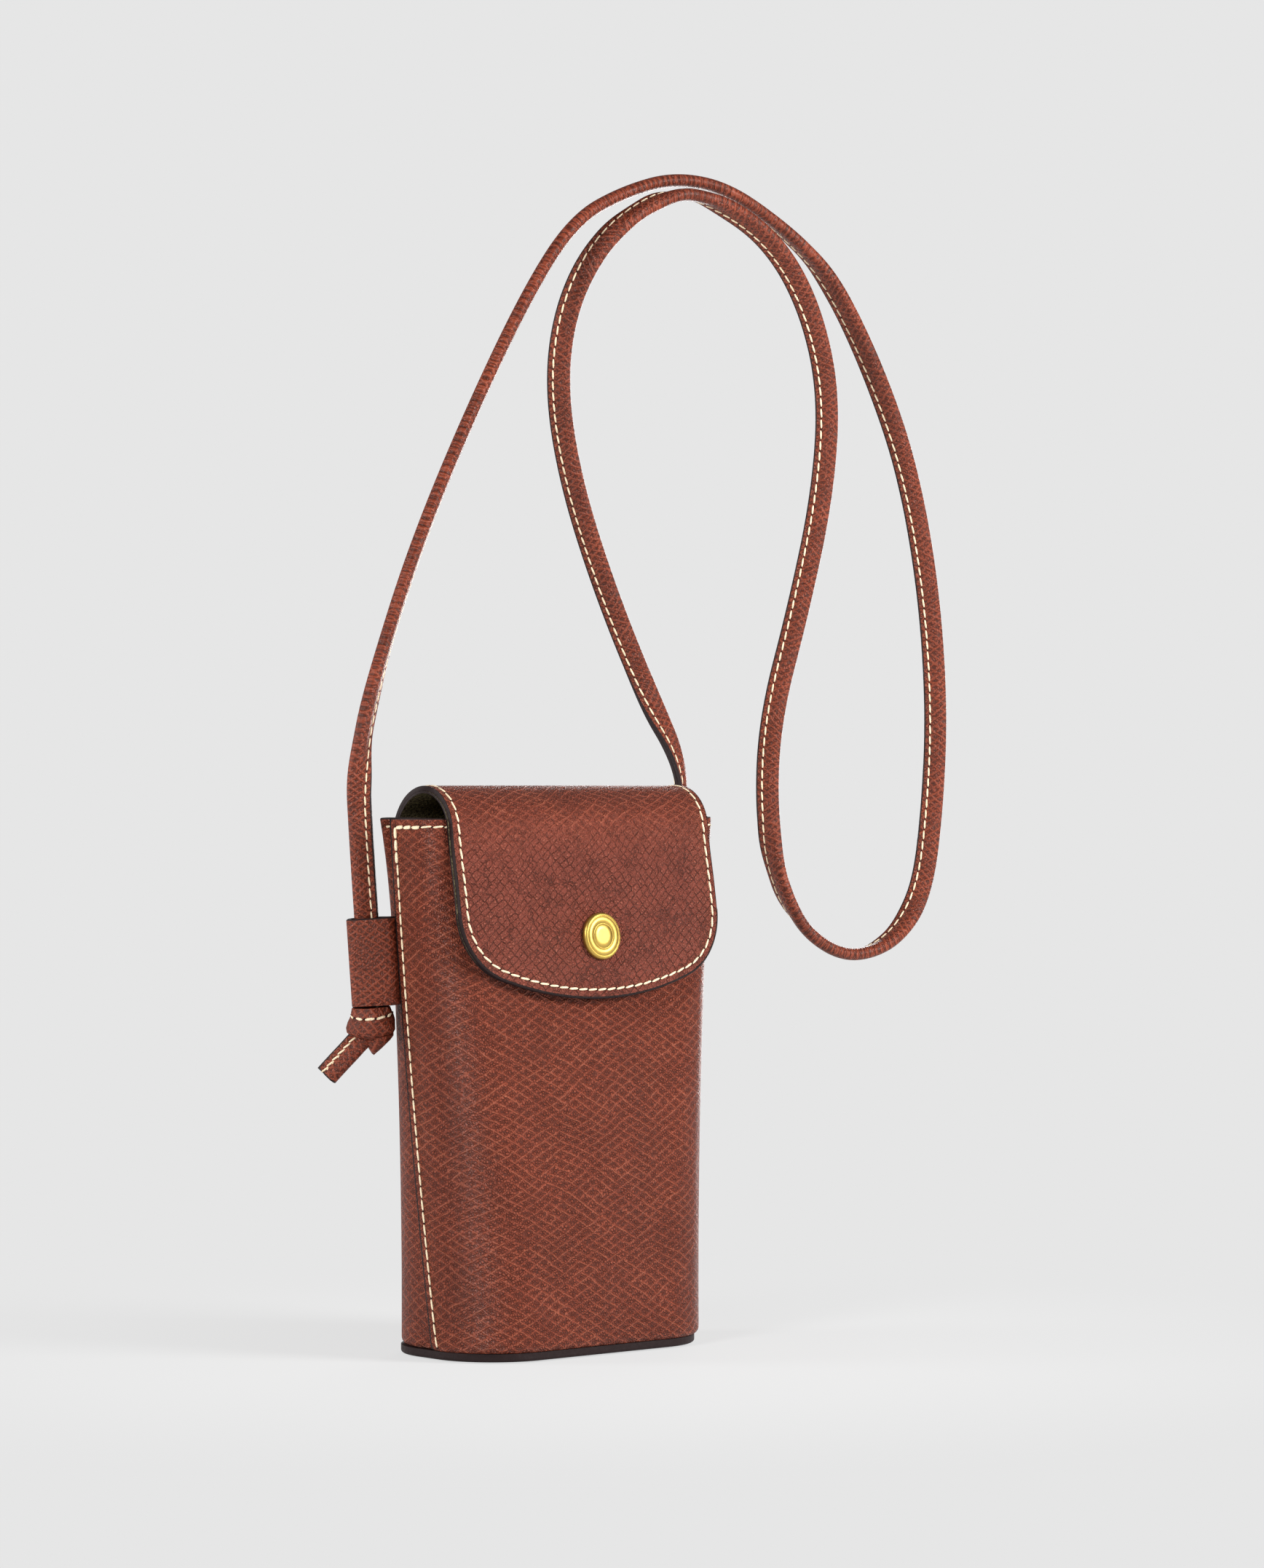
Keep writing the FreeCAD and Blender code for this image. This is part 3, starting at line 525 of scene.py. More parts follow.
# Which way the open edge points, at points of the route
strapRoll = [
    (0, -leftOut), (2, -leftOut), (3, toRight * 0.5 + away), (4, toRight * 0.2 + away),
    (6, toRight * 0.1 + away), (8, away), (11, away), (12, away - toRight * 0.6),
    (13, away * 0.5 - toRight), (15, -toRight), (19, -toRight), (20, away * 0.6 - toRight),
    (21, away - toRight * 0.2), (22, away), (23, away - toRight * 0.8), (24, -toRight), (29, -toRight),
    (30, away * 0.4 - toRight - up * 0.4), (31, away * 0.9 - toRight * 0.7 - up * 0.7), (32, away),
    (33, away * 0.8 + up * 0.6), (34, up * 0.5 - toRight * 0.8 + away * 0.4), (35, -toRight),
    (39, -toRight), (41, -rightOut), (43, -rightOut),
]


def stripSection(look):
    edge, lip, fold = look["width"] / 2, look["lip"], look["fold"]
    upper = [(edge - 0.15, 0.12), (edge, 0.3), (edge, lip - 0.25), (edge - 0.3, lip),
             (edge - 1.2, lip + 0.06), (edge - 1.9, lip + 0.02), (edge - 2.7, lip + 0.35),
             (edge - 3.6, fold - 0.2), (edge - 4.4, fold)]
    turns = [pi * step / look["noseSteps"] for step in range(look["noseSteps"] + 1)]
    nose = [(fold - edge - fold * sin(turn), fold * cos(turn)) for turn in turns]
    return upper + nose + [(across, -high) for across, high in reversed(upper)]


def keyedRolls(keys, points, count):    # eased between the keys
    rolls = []
    for index in range(len(points)):
        at = (count - 1) * index / (len(points) - 1)
        early = max((key for key in keys if key[0] <= at), key=lambda key: key[0])
        late = min((key for key in keys if key[0] >= at), key=lambda key: key[0])
        share = (at - early[0]) / max(late[0] - early[0], tiny)
        rolls.append(early[1].lerp(late[1], eased(share)).normalized())
    return rolls


def stripFrames(points, rolls):    # (point, towards the open edge, towards one face) along the strip
    frames = []
    for point, heading, roll in zip(points, headings(points), rolls):
        side = (roll - heading * roll.dot(heading)).normalized()
        frames.append((point, side, heading.cross(side)))
    return frames


def sweepStrip(bm, frames, look):
    section = stripSection(look)
    edge = look["width"] / 2
    slots = [int(min(here[0], there[0]) > edge - look["painted"]) for here, there in ringPairs(section)]
    ring = None
    run = 0.0
    last, end = frames[0][0], frames[-1][0]
    for point, side, face in frames:
        run += (point - last).length
        last = point
        toEnd = (end - point).length + look["endGap"] * mm if look.get("cutEnd") else noPaint
        stations = []
        for across, high in section:
            gap = min(toEnd, (edge - across + look["edgeGap"]) * mm)
            stations.append((point + (side * across + face * high) * mm, (across * mm, run, gap)))
        ring = addRing(bm, ring, stations, slots)
    closeEnds(bm, 1)


def stripStitches(frames, look, face):
    across = (look["width"] / 2 - look["stitchFromEdge"]) * mm
    high = (look["lip"] + look["stitchLift"]) * mm
    return [(point + side * across + normal * face * high, normal * face) for point, side, normal in frames]


strapLine = routePoints("strapRoute", strapLook["route"])
strapFrames = stripFrames(strapLine, keyedRolls(strapRoll, strapLine, len(strapLook["route"])))
bm = bmesh.new()
sweepStrip(bm, strapFrames, strapLook)
strap = newPiece("strap", bm, [strapLeather, edgePaint],
                 ["strap_left_end", "strap_left_run", "strap_right_run", "strap_right_end"])
bm = bmesh.new()
for face in (1, -1):
    spots = evenSpots(stripStitches(strapFrames, strapLook, face), strapLook["pitch"])
    sew(bm, spots, *strapLook["stitch"])
strapThread = threadPiece("strapThread", bm)


# Body: front and back panels, lapped at the side seams, with a lining inside each

bodyForm = {
    # At the foot, the middle and the mouth; the side seam is (y, z) points of the front panel's edge
    "heights": (2.6, 85, 166), "widths": (101, 107.5, 120), "depths": (58, 48, 27), "corners": (24, 20, 6.5),
    "seam": ((-4.5, 0), (4.0, 85), (4.5, 166)), "rim": 0.4, "tuck": 2.2, "crown": 1.3, "crownSpan": 112,
    "flareFrom": 128.0, "flare": 2.6, "flareSpan": (0.5, 4), "foldHeight": 163.0, "flapHalf": 53.4,
    "wing": 9.0, "leather": 1.6, "lining": 0.7, "bond": 0.02, "lipDrop": 0.5, "foldLip": 0.02,
    "paintGap": 0.4, "liningLap": 0.3, "frontDrop": 0.6, "backDrop": 0.4,
    "footRows": (2.62, 2.8, 3.2, 3.8, 4.7), "wallFrom": 6, "wallSteps": 56, "flatSteps": 24, "turnSteps": 28,
}
heights = bodyForm["heights"]
mouth = heights[2] + bodyForm["rim"]
foldHeight = bodyForm["foldHeight"]
leatherThick, liningThick, wing = bodyForm["leather"], bodyForm["lining"], bodyForm["wing"]


def through(values, height):    # parabola through the three stations
    (low, mid, high), (first, second, third) = heights, values
    slope = (second - first) / (mid - low)
    slopeAfter = (third - second) / (high - mid)
    bend = (slopeAfter - slope) / (high - low)
    return first + slope * (height - low) + bend * (height - low) * (height - mid)


def seamBack(height):    # y of the front panel's edge, on a circle through the seam's points
    (ya, za), (yb, zb), (yc, zc) = bodyForm["seam"]
    twice = 2 * (ya * (zb - zc) + yb * (zc - za) + yc * (za - zb))
    squares = [y * y + z * z for y, z in bodyForm["seam"]]
    middleY = (squares[0] * (zb - zc) + squares[1] * (zc - za) + squares[2] * (za - zb)) / twice
    middleZ = (squares[0] * (yc - yb) + squares[1] * (ya - yc) + squares[2] * (yb - ya)) / twice
    radius = hypot(ya - middleY, za - middleZ)
    return middleY + copysign(sqrt(radius ** 2 - (height - middleZ) ** 2), yb - middleY)


def bodySection(height, inset):    # half width, half depth and corner radius
    width, depth, corner = [through(bodyForm[key], height) for key in ("widths", "depths", "corners")]
    tuck = bodyForm["tuck"]
    foot = max(0.0, height - heights[0])
    if foot < tuck:    # the wall rolls in over the sole
        inset += tuck - sqrt(tuck ** 2 - (tuck - foot) ** 2)
    return width / 2 - inset, depth / 2 - inset, corner - inset


def halfRing(height, inset, end, way):
    # (x, y, run, normal) from the middle of the front (way -1) or back (way 1), round to the side at y = end
    wide, deep, corner = bodySection(height, inset)
    flat, side = wide - corner, deep - corner
    flatSteps, turnSteps = bodyForm["flatSteps"], bodyForm["turnSteps"]
    unturned = asin(clamp((end * way - side) / corner))
    turn = corner * (pi / 2 - unturned) + max(0.0, side - end * way)
    ring = []
    for step in range(flatSteps):
        ring.append((flat * step / flatSteps, deep * way, flat * step / flatSteps, (0.0, way)))
    for step in range(turnSteps + 1):
        run = turn * step / turnSteps
        angle = run / corner
        if angle < pi / 2:
            ring.append((flat + corner * sin(angle), way * (side + corner * cos(angle)), flat + run,
                         (sin(angle), way * cos(angle))))
        else:
            ring.append((wide, way * (side - (run - corner * pi / 2)), flat + run, (1.0, 0.0)))
    return ring


def bodyRow(height, inset, end, way):    # stations of a hide from side to side, at one height
    half = halfRing(height, inset, end, way)
    row = [(-x, y, -run, (-nx, ny)) for x, y, run, (nx, ny) in reversed(half[1:])] + half
    wide, _, corner = bodySection(height, inset)
    above, below = bodySection(height + 0.5, inset), bodySection(height - 0.5, inset)
    lift = clamp((height - heights[0]) / bodyForm["crownSpan"])
    rise = clamp((height - bodyForm["flareFrom"]) / (mouth - bodyForm["flareFrom"]))
    flareStart, flareWidth = bodyForm["flareSpan"]
    stations = []
    for x, y, run, (nx, ny) in row:
        slope = (above[1] - below[1]) * abs(ny) + (above[0] - below[0]) * abs(nx)
        normal = Vector((nx, ny, -slope if height > bodyForm["wallFrom"] else 0.0)).normalized()
        rim = bodyForm["paintGap"] + min(half[-1][2] - abs(run), mouth - height)
        if way < 0:    # the front swells a little
            across = min(1.0, abs(x) / (wide - corner))
            y -= bodyForm["crown"] * sin(pi * lift) * (1 - across * across) ** 2
        else:    # the back's top corners stand out behind the seams
            behind = clamp((y - seamBack(height) - flareStart) / flareWidth)
            x += copysign(bodyForm["flare"] * rise * rise * eased(behind) * abs(nx), x)
        mark = (run * mm, height * mm, min(noPaint, rim * mm))
        stations.append((Vector((x, y, height)) * mm, normal, mark))
    return stations


def bodyRows(inset, seamShift, way, top):
    rowHeights = [*bodyForm["footRows"], *evenSteps(bodyForm["wallFrom"], top, bodyForm["wallSteps"])]
    return [bodyRow(height, inset, seamBack(height) - seamShift, way) for height in rowHeights]


def bodyPiece(name, rows, thick, finish, node, lipShares=None):
    bm = bmesh.new()
    layHide(bm, rows, thick, lipShares=lipShares)
    newPiece(name, bm, [finish, edgePaint], [node])


lipHeight = mouth - bodyForm["lipDrop"]
bodyPiece("frontPanel", bodyRows(0, 0, -1, lipHeight), leatherThick, bodyLeather, "front_panel")

# The back's middle stops at the fold, where the flap goes on; its wings stand up beside the flap
rows = bodyRows(leatherThick, wing, 1, foldHeight)
wings = bodyRows(leatherThick, wing, 1, lipHeight)
isWing = [abs(station[0].x) > bodyForm["flapHalf"] * mm for station in rows[-1]]
rows = [[tall if stands else short for short, tall, stands in zip(shortRow, tallRow, isWing)]
        for shortRow, tallRow in zip(rows, wings)]
bodyPiece("backPanel", rows, leatherThick, bodyLeather, "back_panel",
          [1.0 if stands else bodyForm["foldLip"] for stands in isWing])

rows = bodyRows(leatherThick + bodyForm["bond"], wing + bodyForm["liningLap"], -1,
                mouth - bodyForm["frontDrop"])
bodyPiece("frontLining", rows, liningThick, lining, "front_lining")
rows = bodyRows(2 * leatherThick + bodyForm["bond"], wing, 1, foldHeight - bodyForm["backDrop"])
bodyPiece("backLining", rows, liningThick, lining, "back_lining")
print("body panels ready")


# Base lining: a thin pad on the board

padLook = {"node": "base_lining", "corner": 19.5, "rounding": 0.3}
low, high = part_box(padLook["node"])
bm = bmesh.new()
padPlace = Matrix.Translation((low + high) / 2) @ Matrix.Diagonal((*(high - low), 1))
bmesh.ops.create_cube(bm, size=1, matrix=padPlace)
upright = [edge for edge in bm.edges if abs((edge.verts[0].co - edge.verts[1].co).z) > tiny]
bmesh.ops.bevel(bm, geom=upright, offset=padLook["corner"] * mm, segments=14, profile=0.5,
                affect="EDGES", material=-1)
rim = [edge for edge in bm.edges if min(vert.co.z for vert in edge.verts) > high.z - tiny]
bmesh.ops.bevel(bm, geom=rim, offset=padLook["rounding"] * mm, segments=2, profile=0.5,
                affect="EDGES", material=-1)
newPiece("basePad", bm, [lining], [padLook["node"]])


# Stitching of the body: side seams, mouth edge and the wings

seamLook = {"margin": 2.7, "pitch": 3.8, "stitch": (0.74, 0.9, 6.0), "from": 3.8, "steps": 80,
            "twice": (0.95, 0.9, 3), "twiceCount": 3, "seamShift": 0.35, "mouthShift": 0.3,
            "wingFrom": 0.6, "wingInset": 1}
margin, pitch, stitch = seamLook["margin"], seamLook["pitch"], seamLook["stitch"]
stitchHeight = mouth - margin


def seamSpots(hand):    # along the end of the front panel's ring, at each height
    spots = []
    for height in evenSteps(seamLook["from"], stitchHeight, seamLook["steps"]):
        x, y, _, (nx, ny) = halfRing(height, 0, seamBack(height) - margin, -1)[-1]
        spots.append((Vector((hand * x, y, height)) * mm, Vector((hand * nx, ny, 0))))
    return spots


def sewTwice(bm, spots, shift):    # a second thread beside the first
    for (start, normal), (end, _) in zip(spots, spots[1:]):
        addStitch(bm, start + shift, end + shift, normal, *seamLook["twice"])


corner = seamLook["twiceCount"] + 1    # needle holes at a corner that is sewn twice
for hand, name in ((-1, "left"), (1, "right")):
    bm = bmesh.new()
    spots = evenSpots(seamSpots(hand), pitch)
    sew(bm, spots, *stitch)
    sewTwice(bm, spots[-corner:], Vector((0, seamLook["seamShift"] * mm, 0)))
    threadPiece(f"seamThread{name.title()}", bm, [f"seam_stitches_{name}"])

bm = bmesh.new()
ring = bodyRow(stitchHeight, 0, seamBack(stitchHeight) - margin, -1)
spots = evenSpots([(point, normal) for point, normal, _ in ring], pitch)
sew(bm, spots, *stitch)
for part in (spots[:corner], spots[-corner:]):
    sewTwice(bm, part, -up * seamLook["mouthShift"] * mm)
threadPiece("mouthThread", bm, ["mouth_stitches"])

bm = bmesh.new()
ring = bodyRow(stitchHeight, leatherThick, seamBack(stitchHeight) + seamLook["wingFrom"], 1)
wingStart = (bodyForm["flapHalf"] + seamLook["wingInset"]) * mm
for hand in (-1, 1):
    spots = [(point, normal) for point, normal, _ in ring if point.x * hand > wingStart]
    sew(bm, evenSpots(spots, pitch), *stitch)
threadPiece("wingThread", bm, ["wing_stitches"])
print("body stitching ready")


# Flap: over the mouth in an arch, then down the front in a long gentle curve

flapForm = {
    "fold": (12.39, 163.0), "foldLean": 9.12, "archRadius": 15.84, "legLean": 12.5, "straight": 6.05,
    "legRadius": 241.2, "half": 53.0, "corner": 22.0, "tip": 115.0, "tipHeight": 110.0,
    "bow": 3.0, "bowFrom": 0.45, "bowOver": 0.8,    # the bow starts and grows over these shares of the arch
    "leatherTrim": 0.6, "liningTrim": 0.42, "halfColumns": 44, "rows": 84,
    "margin": 3.0, "sewnFrom": 3, "sideSteps": 120, "turnSteps": 160,
    # Two points near the fold, for the leather and for the lining
    "leatherTurns": ((0, 12.4, 163.0), (0, 8.94, 165.0)),
    "liningTurns": ((0, 11.6, 162.4), (0, 6.04, 164.65)),
}
archRadius, legRadius, straight = flapForm["archRadius"], flapForm["legRadius"], flapForm["straight"]
foldTurn = radians(flapForm["foldLean"])
legTurn = pi - radians(flapForm["legLean"])


def outwards(turn):
    return Vector((cos(turn), sin(turn)))


archLength = archRadius * (legTurn - foldTurn)
archMiddle = Vector(flapForm["fold"]) - archRadius * outwards(foldTurn)
archEnd = archMiddle + archRadius * outwards(legTurn)
legStart = archEnd + straight * Vector((-sin(legTurn), cos(legTurn)))
legMiddle = legStart - legRadius * outwards(legTurn)
legFrom = archLength + straight


def flapLine(run):    # (y, z) and the turn of the outward direction, at a run from the fold
    if run < archLength:
        turn = foldTurn + run / archRadius
        return archMiddle + archRadius * outwards(turn), turn
    if run < legFrom:
        return archEnd.lerp(legStart, (run - archLength) / straight), legTurn
    turn = legTurn + (run - legFrom) / legRadius
    return legMiddle + legRadius * outwards(turn), turn


def flapPlace(across, run, depth):
    (y, z), turn = flapLine(run)
    share = clamp((run / archLength - flapForm["bowFrom"]) / flapForm["bowOver"])
    bow = flapForm["bow"] * (across / flapForm["half"]) ** 2 * eased(share)
    out = Vector((0, cos(turn), sin(turn)))
    return (Vector((across, y, z)) - out * (bow + depth)) * mm


def flapSpot(across, run, depth=0.0, probe=0.2):    # point, normal and the way down the flap
    down = flapPlace(across, run + probe, depth) - flapPlace(across, run - probe, depth)
    side = flapPlace(across + probe, run, depth) - flapPlace(across - probe, run, depth)
    return flapPlace(across, run, depth), down.cross(side).normalized(), down.normalized()


def runAt(height):
    turn = pi - asin((height - legMiddle.y) / legRadius)
    return legFrom + legRadius * (turn - legTurn)


def flapOutline(margin=0.0):    # the U: corner and tip radii, and the middles of their arcs
    half, corner, tip = [flapForm[key] - margin for key in ("half", "corner", "tip")]
    tipMiddle = flapForm["tipHeight"] + flapForm["tip"]
    cornerX = half - corner
    cornerZ = tipMiddle - sqrt((tip - corner) ** 2 - cornerX ** 2)
    return corner, tip, tipMiddle, cornerX, cornerZ


def flapEdge(across, margin=0.0):    # height and outward direction (x, z) of the U outline at x
    corner, tip, tipMiddle, cornerX, cornerZ = flapOutline(margin)
    if abs(across) < cornerX * tip / (tip - corner):
        height = tipMiddle - sqrt(tip ** 2 - across ** 2)
        return height, (across / tip, (height - tipMiddle) / tip)
    beyond = min(abs(across) - cornerX, corner)
    drop = sqrt(max(0.0, corner ** 2 - beyond ** 2))
    return cornerZ - drop, (copysign(beyond / corner, across), -drop / corner)


def edgeGap(across, height):    # distance from the U outline
    corner, tip, tipMiddle, cornerX, cornerZ = flapOutline()
    if height > cornerZ:
        return flapForm["half"] - abs(across)
    if (abs(across) - cornerX) * (tipMiddle - cornerZ) > cornerX * (cornerZ - height):
        return corner - hypot(abs(across) - cornerX, height - cornerZ)
    return tip - hypot(across, height - tipMiddle)


def layFlap(bm, depth, thick, trim):
    half, count, steps = flapForm["half"], flapForm["halfColumns"], flapForm["rows"]
    columns = [sin(pi / 2 * (step / count - 1)) * (half - trim) for step in range(2 * count + 1)]
    ends = [runAt(flapEdge(across, trim)[0]) for across in columns]
    rows = []
    for step in range(steps + 1):
        row = []
        for across, end in zip(columns, ends):
            run = end * step / steps
            point, normal, _ = flapSpot(across, run, depth)
            gap = edgeGap(across, point.z / mm) if run > archLength else half - abs(across)
            row.append((point, normal, (across * mm, (foldHeight + run) * mm, min(gap * mm, noPaint))))
        rows.append(row)
    ahead = []
    for across, end in zip(columns, ends):
        edge = flapEdge(across, trim)[1]
        down = flapSpot(across, end, depth)[2]
        ahead.append((Vector((1, 0, 0)) * edge[0] - down * edge[1]).normalized())
    layHide(bm, rows, thick, ahead=ahead)


def followFold(piece):
    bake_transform(piece)


bm = bmesh.new()
layFlap(bm, 0.0, leatherThick, flapForm["leatherTrim"])
flap = newPiece("flap", bm, [flapLeather, edgePaint], ["flap"], None)
followFold(flap)
bm = bmesh.new()
layFlap(bm, leatherThick + bodyForm["bond"], liningThick, flapForm["liningTrim"])
flapLining = newPiece("flapLining", bm, [lining, edgePaint], ["flap_lining"], None)
followFold(flapLining)

# One row of stitches, like the seams, runs down one side, round the U and up the other side
margin = flapForm["margin"]
inner = flapForm["half"] - margin
turnSteps = flapForm["turnSteps"]
sideEnd = runAt(flapEdge(inner, margin)[0])
sideRuns = evenSteps(flapForm["sewnFrom"], sideEnd, flapForm["sideSteps"])[:-1]
track = [(inner, run) for run in sideRuns]
for step in range(turnSteps + 1):
    across = inner * sin(pi / 2 * (1 - 2 * step / turnSteps))
    track.append((across, runAt(flapEdge(across, margin)[0])))
track += [(-inner, run) for run in reversed(sideRuns)]
bm = bmesh.new()
sew(bm, evenSpots([flapSpot(*place)[:2] for place in track], pitch), *stitch)
flapThread = threadPiece("flapThread", bm, ["flap_stitches"], None)
followFold(flapThread)
print("flap ready")


# Press stud cap: a plain brass disc with two engraved rings, on a post through the flap

capLook = {
    "place": (0, -24.574, 129.5), "axis": (0, -0.99516, 0.09829), "radius": 7.3, "rim": 1.15, "top": 1.9,
    "rings": (0.86, 0.53), "groove": 0.16,
    "post": [(0, -4.95), (2.1, -4.95), (2.1, -4.7), (1.5, -4.7), (1.5, 0)],    # outline from the foot up
}
radius, rim, top = capLook["radius"], capLook["rim"], capLook["top"]
groove = top - capLook["groove"]
outline = capLook["post"] + [
    (radius - 0.25, 0), (radius - 0.05, 0.2), (radius, 0.5), (radius, rim), (radius - 0.12, rim + 0.32),
    (radius - 0.42, top - 0.12), (radius - 0.75, top)]
for share in capLook["rings"]:
    middle = radius * share
    outline += [(middle + 0.2, top + 0.01), (middle + 0.1, groove), (middle - 0.1, groove),
                (middle - 0.2, top + 0.02)]
outline += [(radius * 0.3, top + 0.03), (0, top + 0.03)]
bm = bmesh.new()
verts = [bm.verts.new((across * mm, 0, high * mm)) for across, high in outline]
edges = [bm.edges.new(pair) for pair in zip(verts, verts[1:])]
bmesh.ops.spin(bm, geom=verts + edges, axis=(0, 0, 1), cent=(0, 0, 0), angle=2 * pi, steps=72,
               use_merge=True)
bmesh.ops.remove_doubles(bm, verts=bm.verts, dist=1e-6)
bmesh.ops.recalc_face_normals(bm, faces=bm.faces)
stand = Vector(capLook["axis"]).to_track_quat("Z", "Y").to_matrix().to_4x4()
bmesh.ops.transform(bm, matrix=Matrix.Translation(Vector(capLook["place"]) * mm) @ stand, verts=bm.verts)
newPiece("snapCap", bm, [brass], ["snap_cap"], "flap")
print("press stud ready")


# Keepers, knots and tails on both sides, made for the left and mirrored for the right

keeperLook = {
    "place": (-61.735, 12.567, 122.0), "rise": (-0.0759, 0.0101, 0.9971), "out": (-1, 1, 0),
    "height": 26.4, "leather": 1.2, "puff": 0.05, "steps": 12,
    "plan": [(-8.4, -0.65), (-6.4, -0.65), (-5.2, -2.0), (-3.4, -2.95), (0, -3.05), (3.4, -2.95),
             (5.4, -2.5), (5.55, 0), (5.4, 2.5), (3.4, 2.95), (0, 3.05), (-3.4, 2.95), (-6.2, 2.75),
             (-7.8, 2.0), (-8.4, 0.65)],
}
# Rings of a knot's two wraps from the top down: height, middle, half width and half depth
knotLook = {
    "drop": 21.44, "steps": 64, "crease": 0.22, "creases": 5, "creaseWidth": 7, "creaseTwist": 0.9,
    "sag": 1.2, "sagFrom": 7.6, "sagOver": 2.3, "sagLeast": 0.25,
    "stitchRing": (5.3, 0.4, 6.45, 4.85), "pitch": 3.5, "stitch": (0.95, 0.86, 4.0),
    "band": [(5.4, 0.3, 4.6, 2.9), (7.2, 0.3, 5.3, 3.7), (7.7, 0.3, 5.6, 4.0), (7.5, 0.3, 5.9, 4.3),
             (6.2, 0.4, 6.25, 4.7), (5.3, 0.4, 6.4, 4.8), (4.5, 0.5, 6.8, 5.15), (3.0, 0.6, 7.3, 5.6),
             (1.6, 0.7, 7.6, 5.9), (0.5, 0.7, 7.5, 5.8), (-0.3, 0.7, 6.9, 5.3), (-0.8, 0.6, 6.0, 4.5),
             (-0.6, 0.3, 5.0, 3.4)],
    "lobe": [(1.0, -0.6, 4.4, 3.6), (-0.6, -1.1, 4.9, 4.3), (-1.6, -1.3, 4.6, 4.2),
             (-2.8, -1.1, 3.9, 3.8), (-4.0, -0.6, 2.9, 3.1), (-5.0, -0.1, 2.0, 2.3),
             (-5.8, 0.3, 1.1, 1.3), (-6.15, 0.4, 0.4, 0.5)],
}
tailLook = dict(
    strapLook, width=7.2, stitchFromEdge=2.4, cutEnd=True, openEdge=(0.69, 0, 0.72), pitch=2.6,
    route=[(1.0, 0.4, 0.6), (4.2, 1.6, -2.0), (7.6, 2.4, -5.4), (11.4, 2.4, -8.9), (15.2, 2.0, -12.6)],
    stitch=(0.62, 1.15), threads=((0.4, 16), (-0.35, -12)))    # shift and slant of its two threads


def keeperFrame(hand):    # outwards, towards the front, and up the keeper
    rise = Vector(keeperLook["rise"])
    out = Vector(keeperLook["out"])
    out = (out - rise * out.dot(rise)).normalized()
    turned = Matrix((out, rise.cross(out), rise)).transposed().to_4x4()
    return Matrix.Diagonal((-hand, 1, 1, 1)) @ Matrix.Translation(Vector(keeperLook["place"]) * mm) @ turned


def keeperRows(place):
    turned = place.to_3x3()
    line = routePoints("keeperPlan", [(x, y, 0) for x, y in keeperLook["plan"]])
    steps = keeperLook["steps"]
    rows = []
    for step in range(steps + 1):
        high = (step / steps - 0.5) * keeperLook["height"] * mm
        puff = 1 + keeperLook["puff"] * sin(pi * step / steps)
        row = []
        run = 0.0
        for last, point, way in zip(line[:1] + line, line, headings(line)):
            run += (point - last).length
            normal = turned @ Vector((way.y, -way.x, 0))
            middle = place @ Vector((point.x, point.y * puff, high))
            row.append((middle + normal * keeperLook["leather"] / 2 * mm, normal, (run, high, noPaint)))
        rows.append(row)
    return rows


def knotRing(station, place):
    high, middle, wide, deep = station
    sag = (knotLook["sagFrom"] - high) / knotLook["sagOver"]
    sag = knotLook["sag"] * min(1.0, max(knotLook["sagLeast"], sag))
    depth = knotLook["crease"] * wide / knotLook["creaseWidth"]
    ring = []
    for step in range(knotLook["steps"]):
        angle = 2 * pi * step / knotLook["steps"]
        crease = depth * sin(knotLook["creases"] * angle + high * knotLook["creaseTwist"])
        point = Vector((middle + (wide + crease) * cos(angle), (deep + crease) * sin(angle),
                        high - sag * sin(angle)))
        ring.append((place @ (point * mm), (angle * wide * mm, high * mm, noPaint)))
    return ring


def layKnot(bm, stations, place):
    ring = None
    for station in stations:
        ring = addRing(bm, ring, knotRing(station, place))
    closeEnds(bm)


def sewKnot(bm, place):    # one row round the knot
    middle = place @ Vector((0, 0, knotLook["stitchRing"][0] * mm))
    around = [(point, (point - middle).normalized()) for point, _ in knotRing(knotLook["stitchRing"], place)]
    sew(bm, evenSpots(around + around[:1], knotLook["pitch"]), *knotLook["stitch"])


def sewTail(bm, frames):    # both faces are sewn over twice
    for face in (1, -1):
        row = evenSpots(stripStitches(frames, tailLook, face), tailLook["pitch"])
        for shift, slant in tailLook["threads"]:
            for (start, normal), (end, _) in zip(row[1:], row[2:]):
                side = normal.cross(end - start).normalized() * shift * mm
                addStitch(bm, start + side, end + side, normal, *tailLook["stitch"], slant)


leathers = [strapLeather, edgePaint]
knotPieces = []
for hand, name in ((-1, "left"), (1, "right")):
    place = keeperFrame(hand)
    bm = bmesh.new()
    layHide(bm, keeperRows(place), keeperLook["leather"], lowLip=True)
    newPiece(f"keeper.{name}", bm, leathers, [f"keeper_{name}"])

    knot = place @ Matrix.Translation((0, 0, -knotLook["drop"] * mm))
    bm = bmesh.new()
    layKnot(bm, knotLook["band"], knot)
    layKnot(bm, knotLook["lobe"], knot)
    knotPiece = newPiece(f"knot.{name}", bm, leathers, [f"knot_{name}"])

    tailLine = [knot @ point for point in routePoints("tailRoute", tailLook["route"])]
    openEdge = knot.to_3x3() @ Vector(tailLook["openEdge"])
    tailFrames = stripFrames(tailLine, [openEdge] * len(tailLine))
    bm = bmesh.new()
    sweepStrip(bm, tailFrames, tailLook)
    tailPiece = newPiece(f"tail.{name}", bm, leathers, [f"tail_{name}"])

    bm = bmesh.new()
    sewKnot(bm, knot)
    sewTail(bm, tailFrames)
    knotThread = threadPiece(f"knotThread.{name}", bm)
    knotPieces += [knotPiece, tailPiece, knotThread]

print("keepers and knots ready")


# CAD pieces that keep their shape

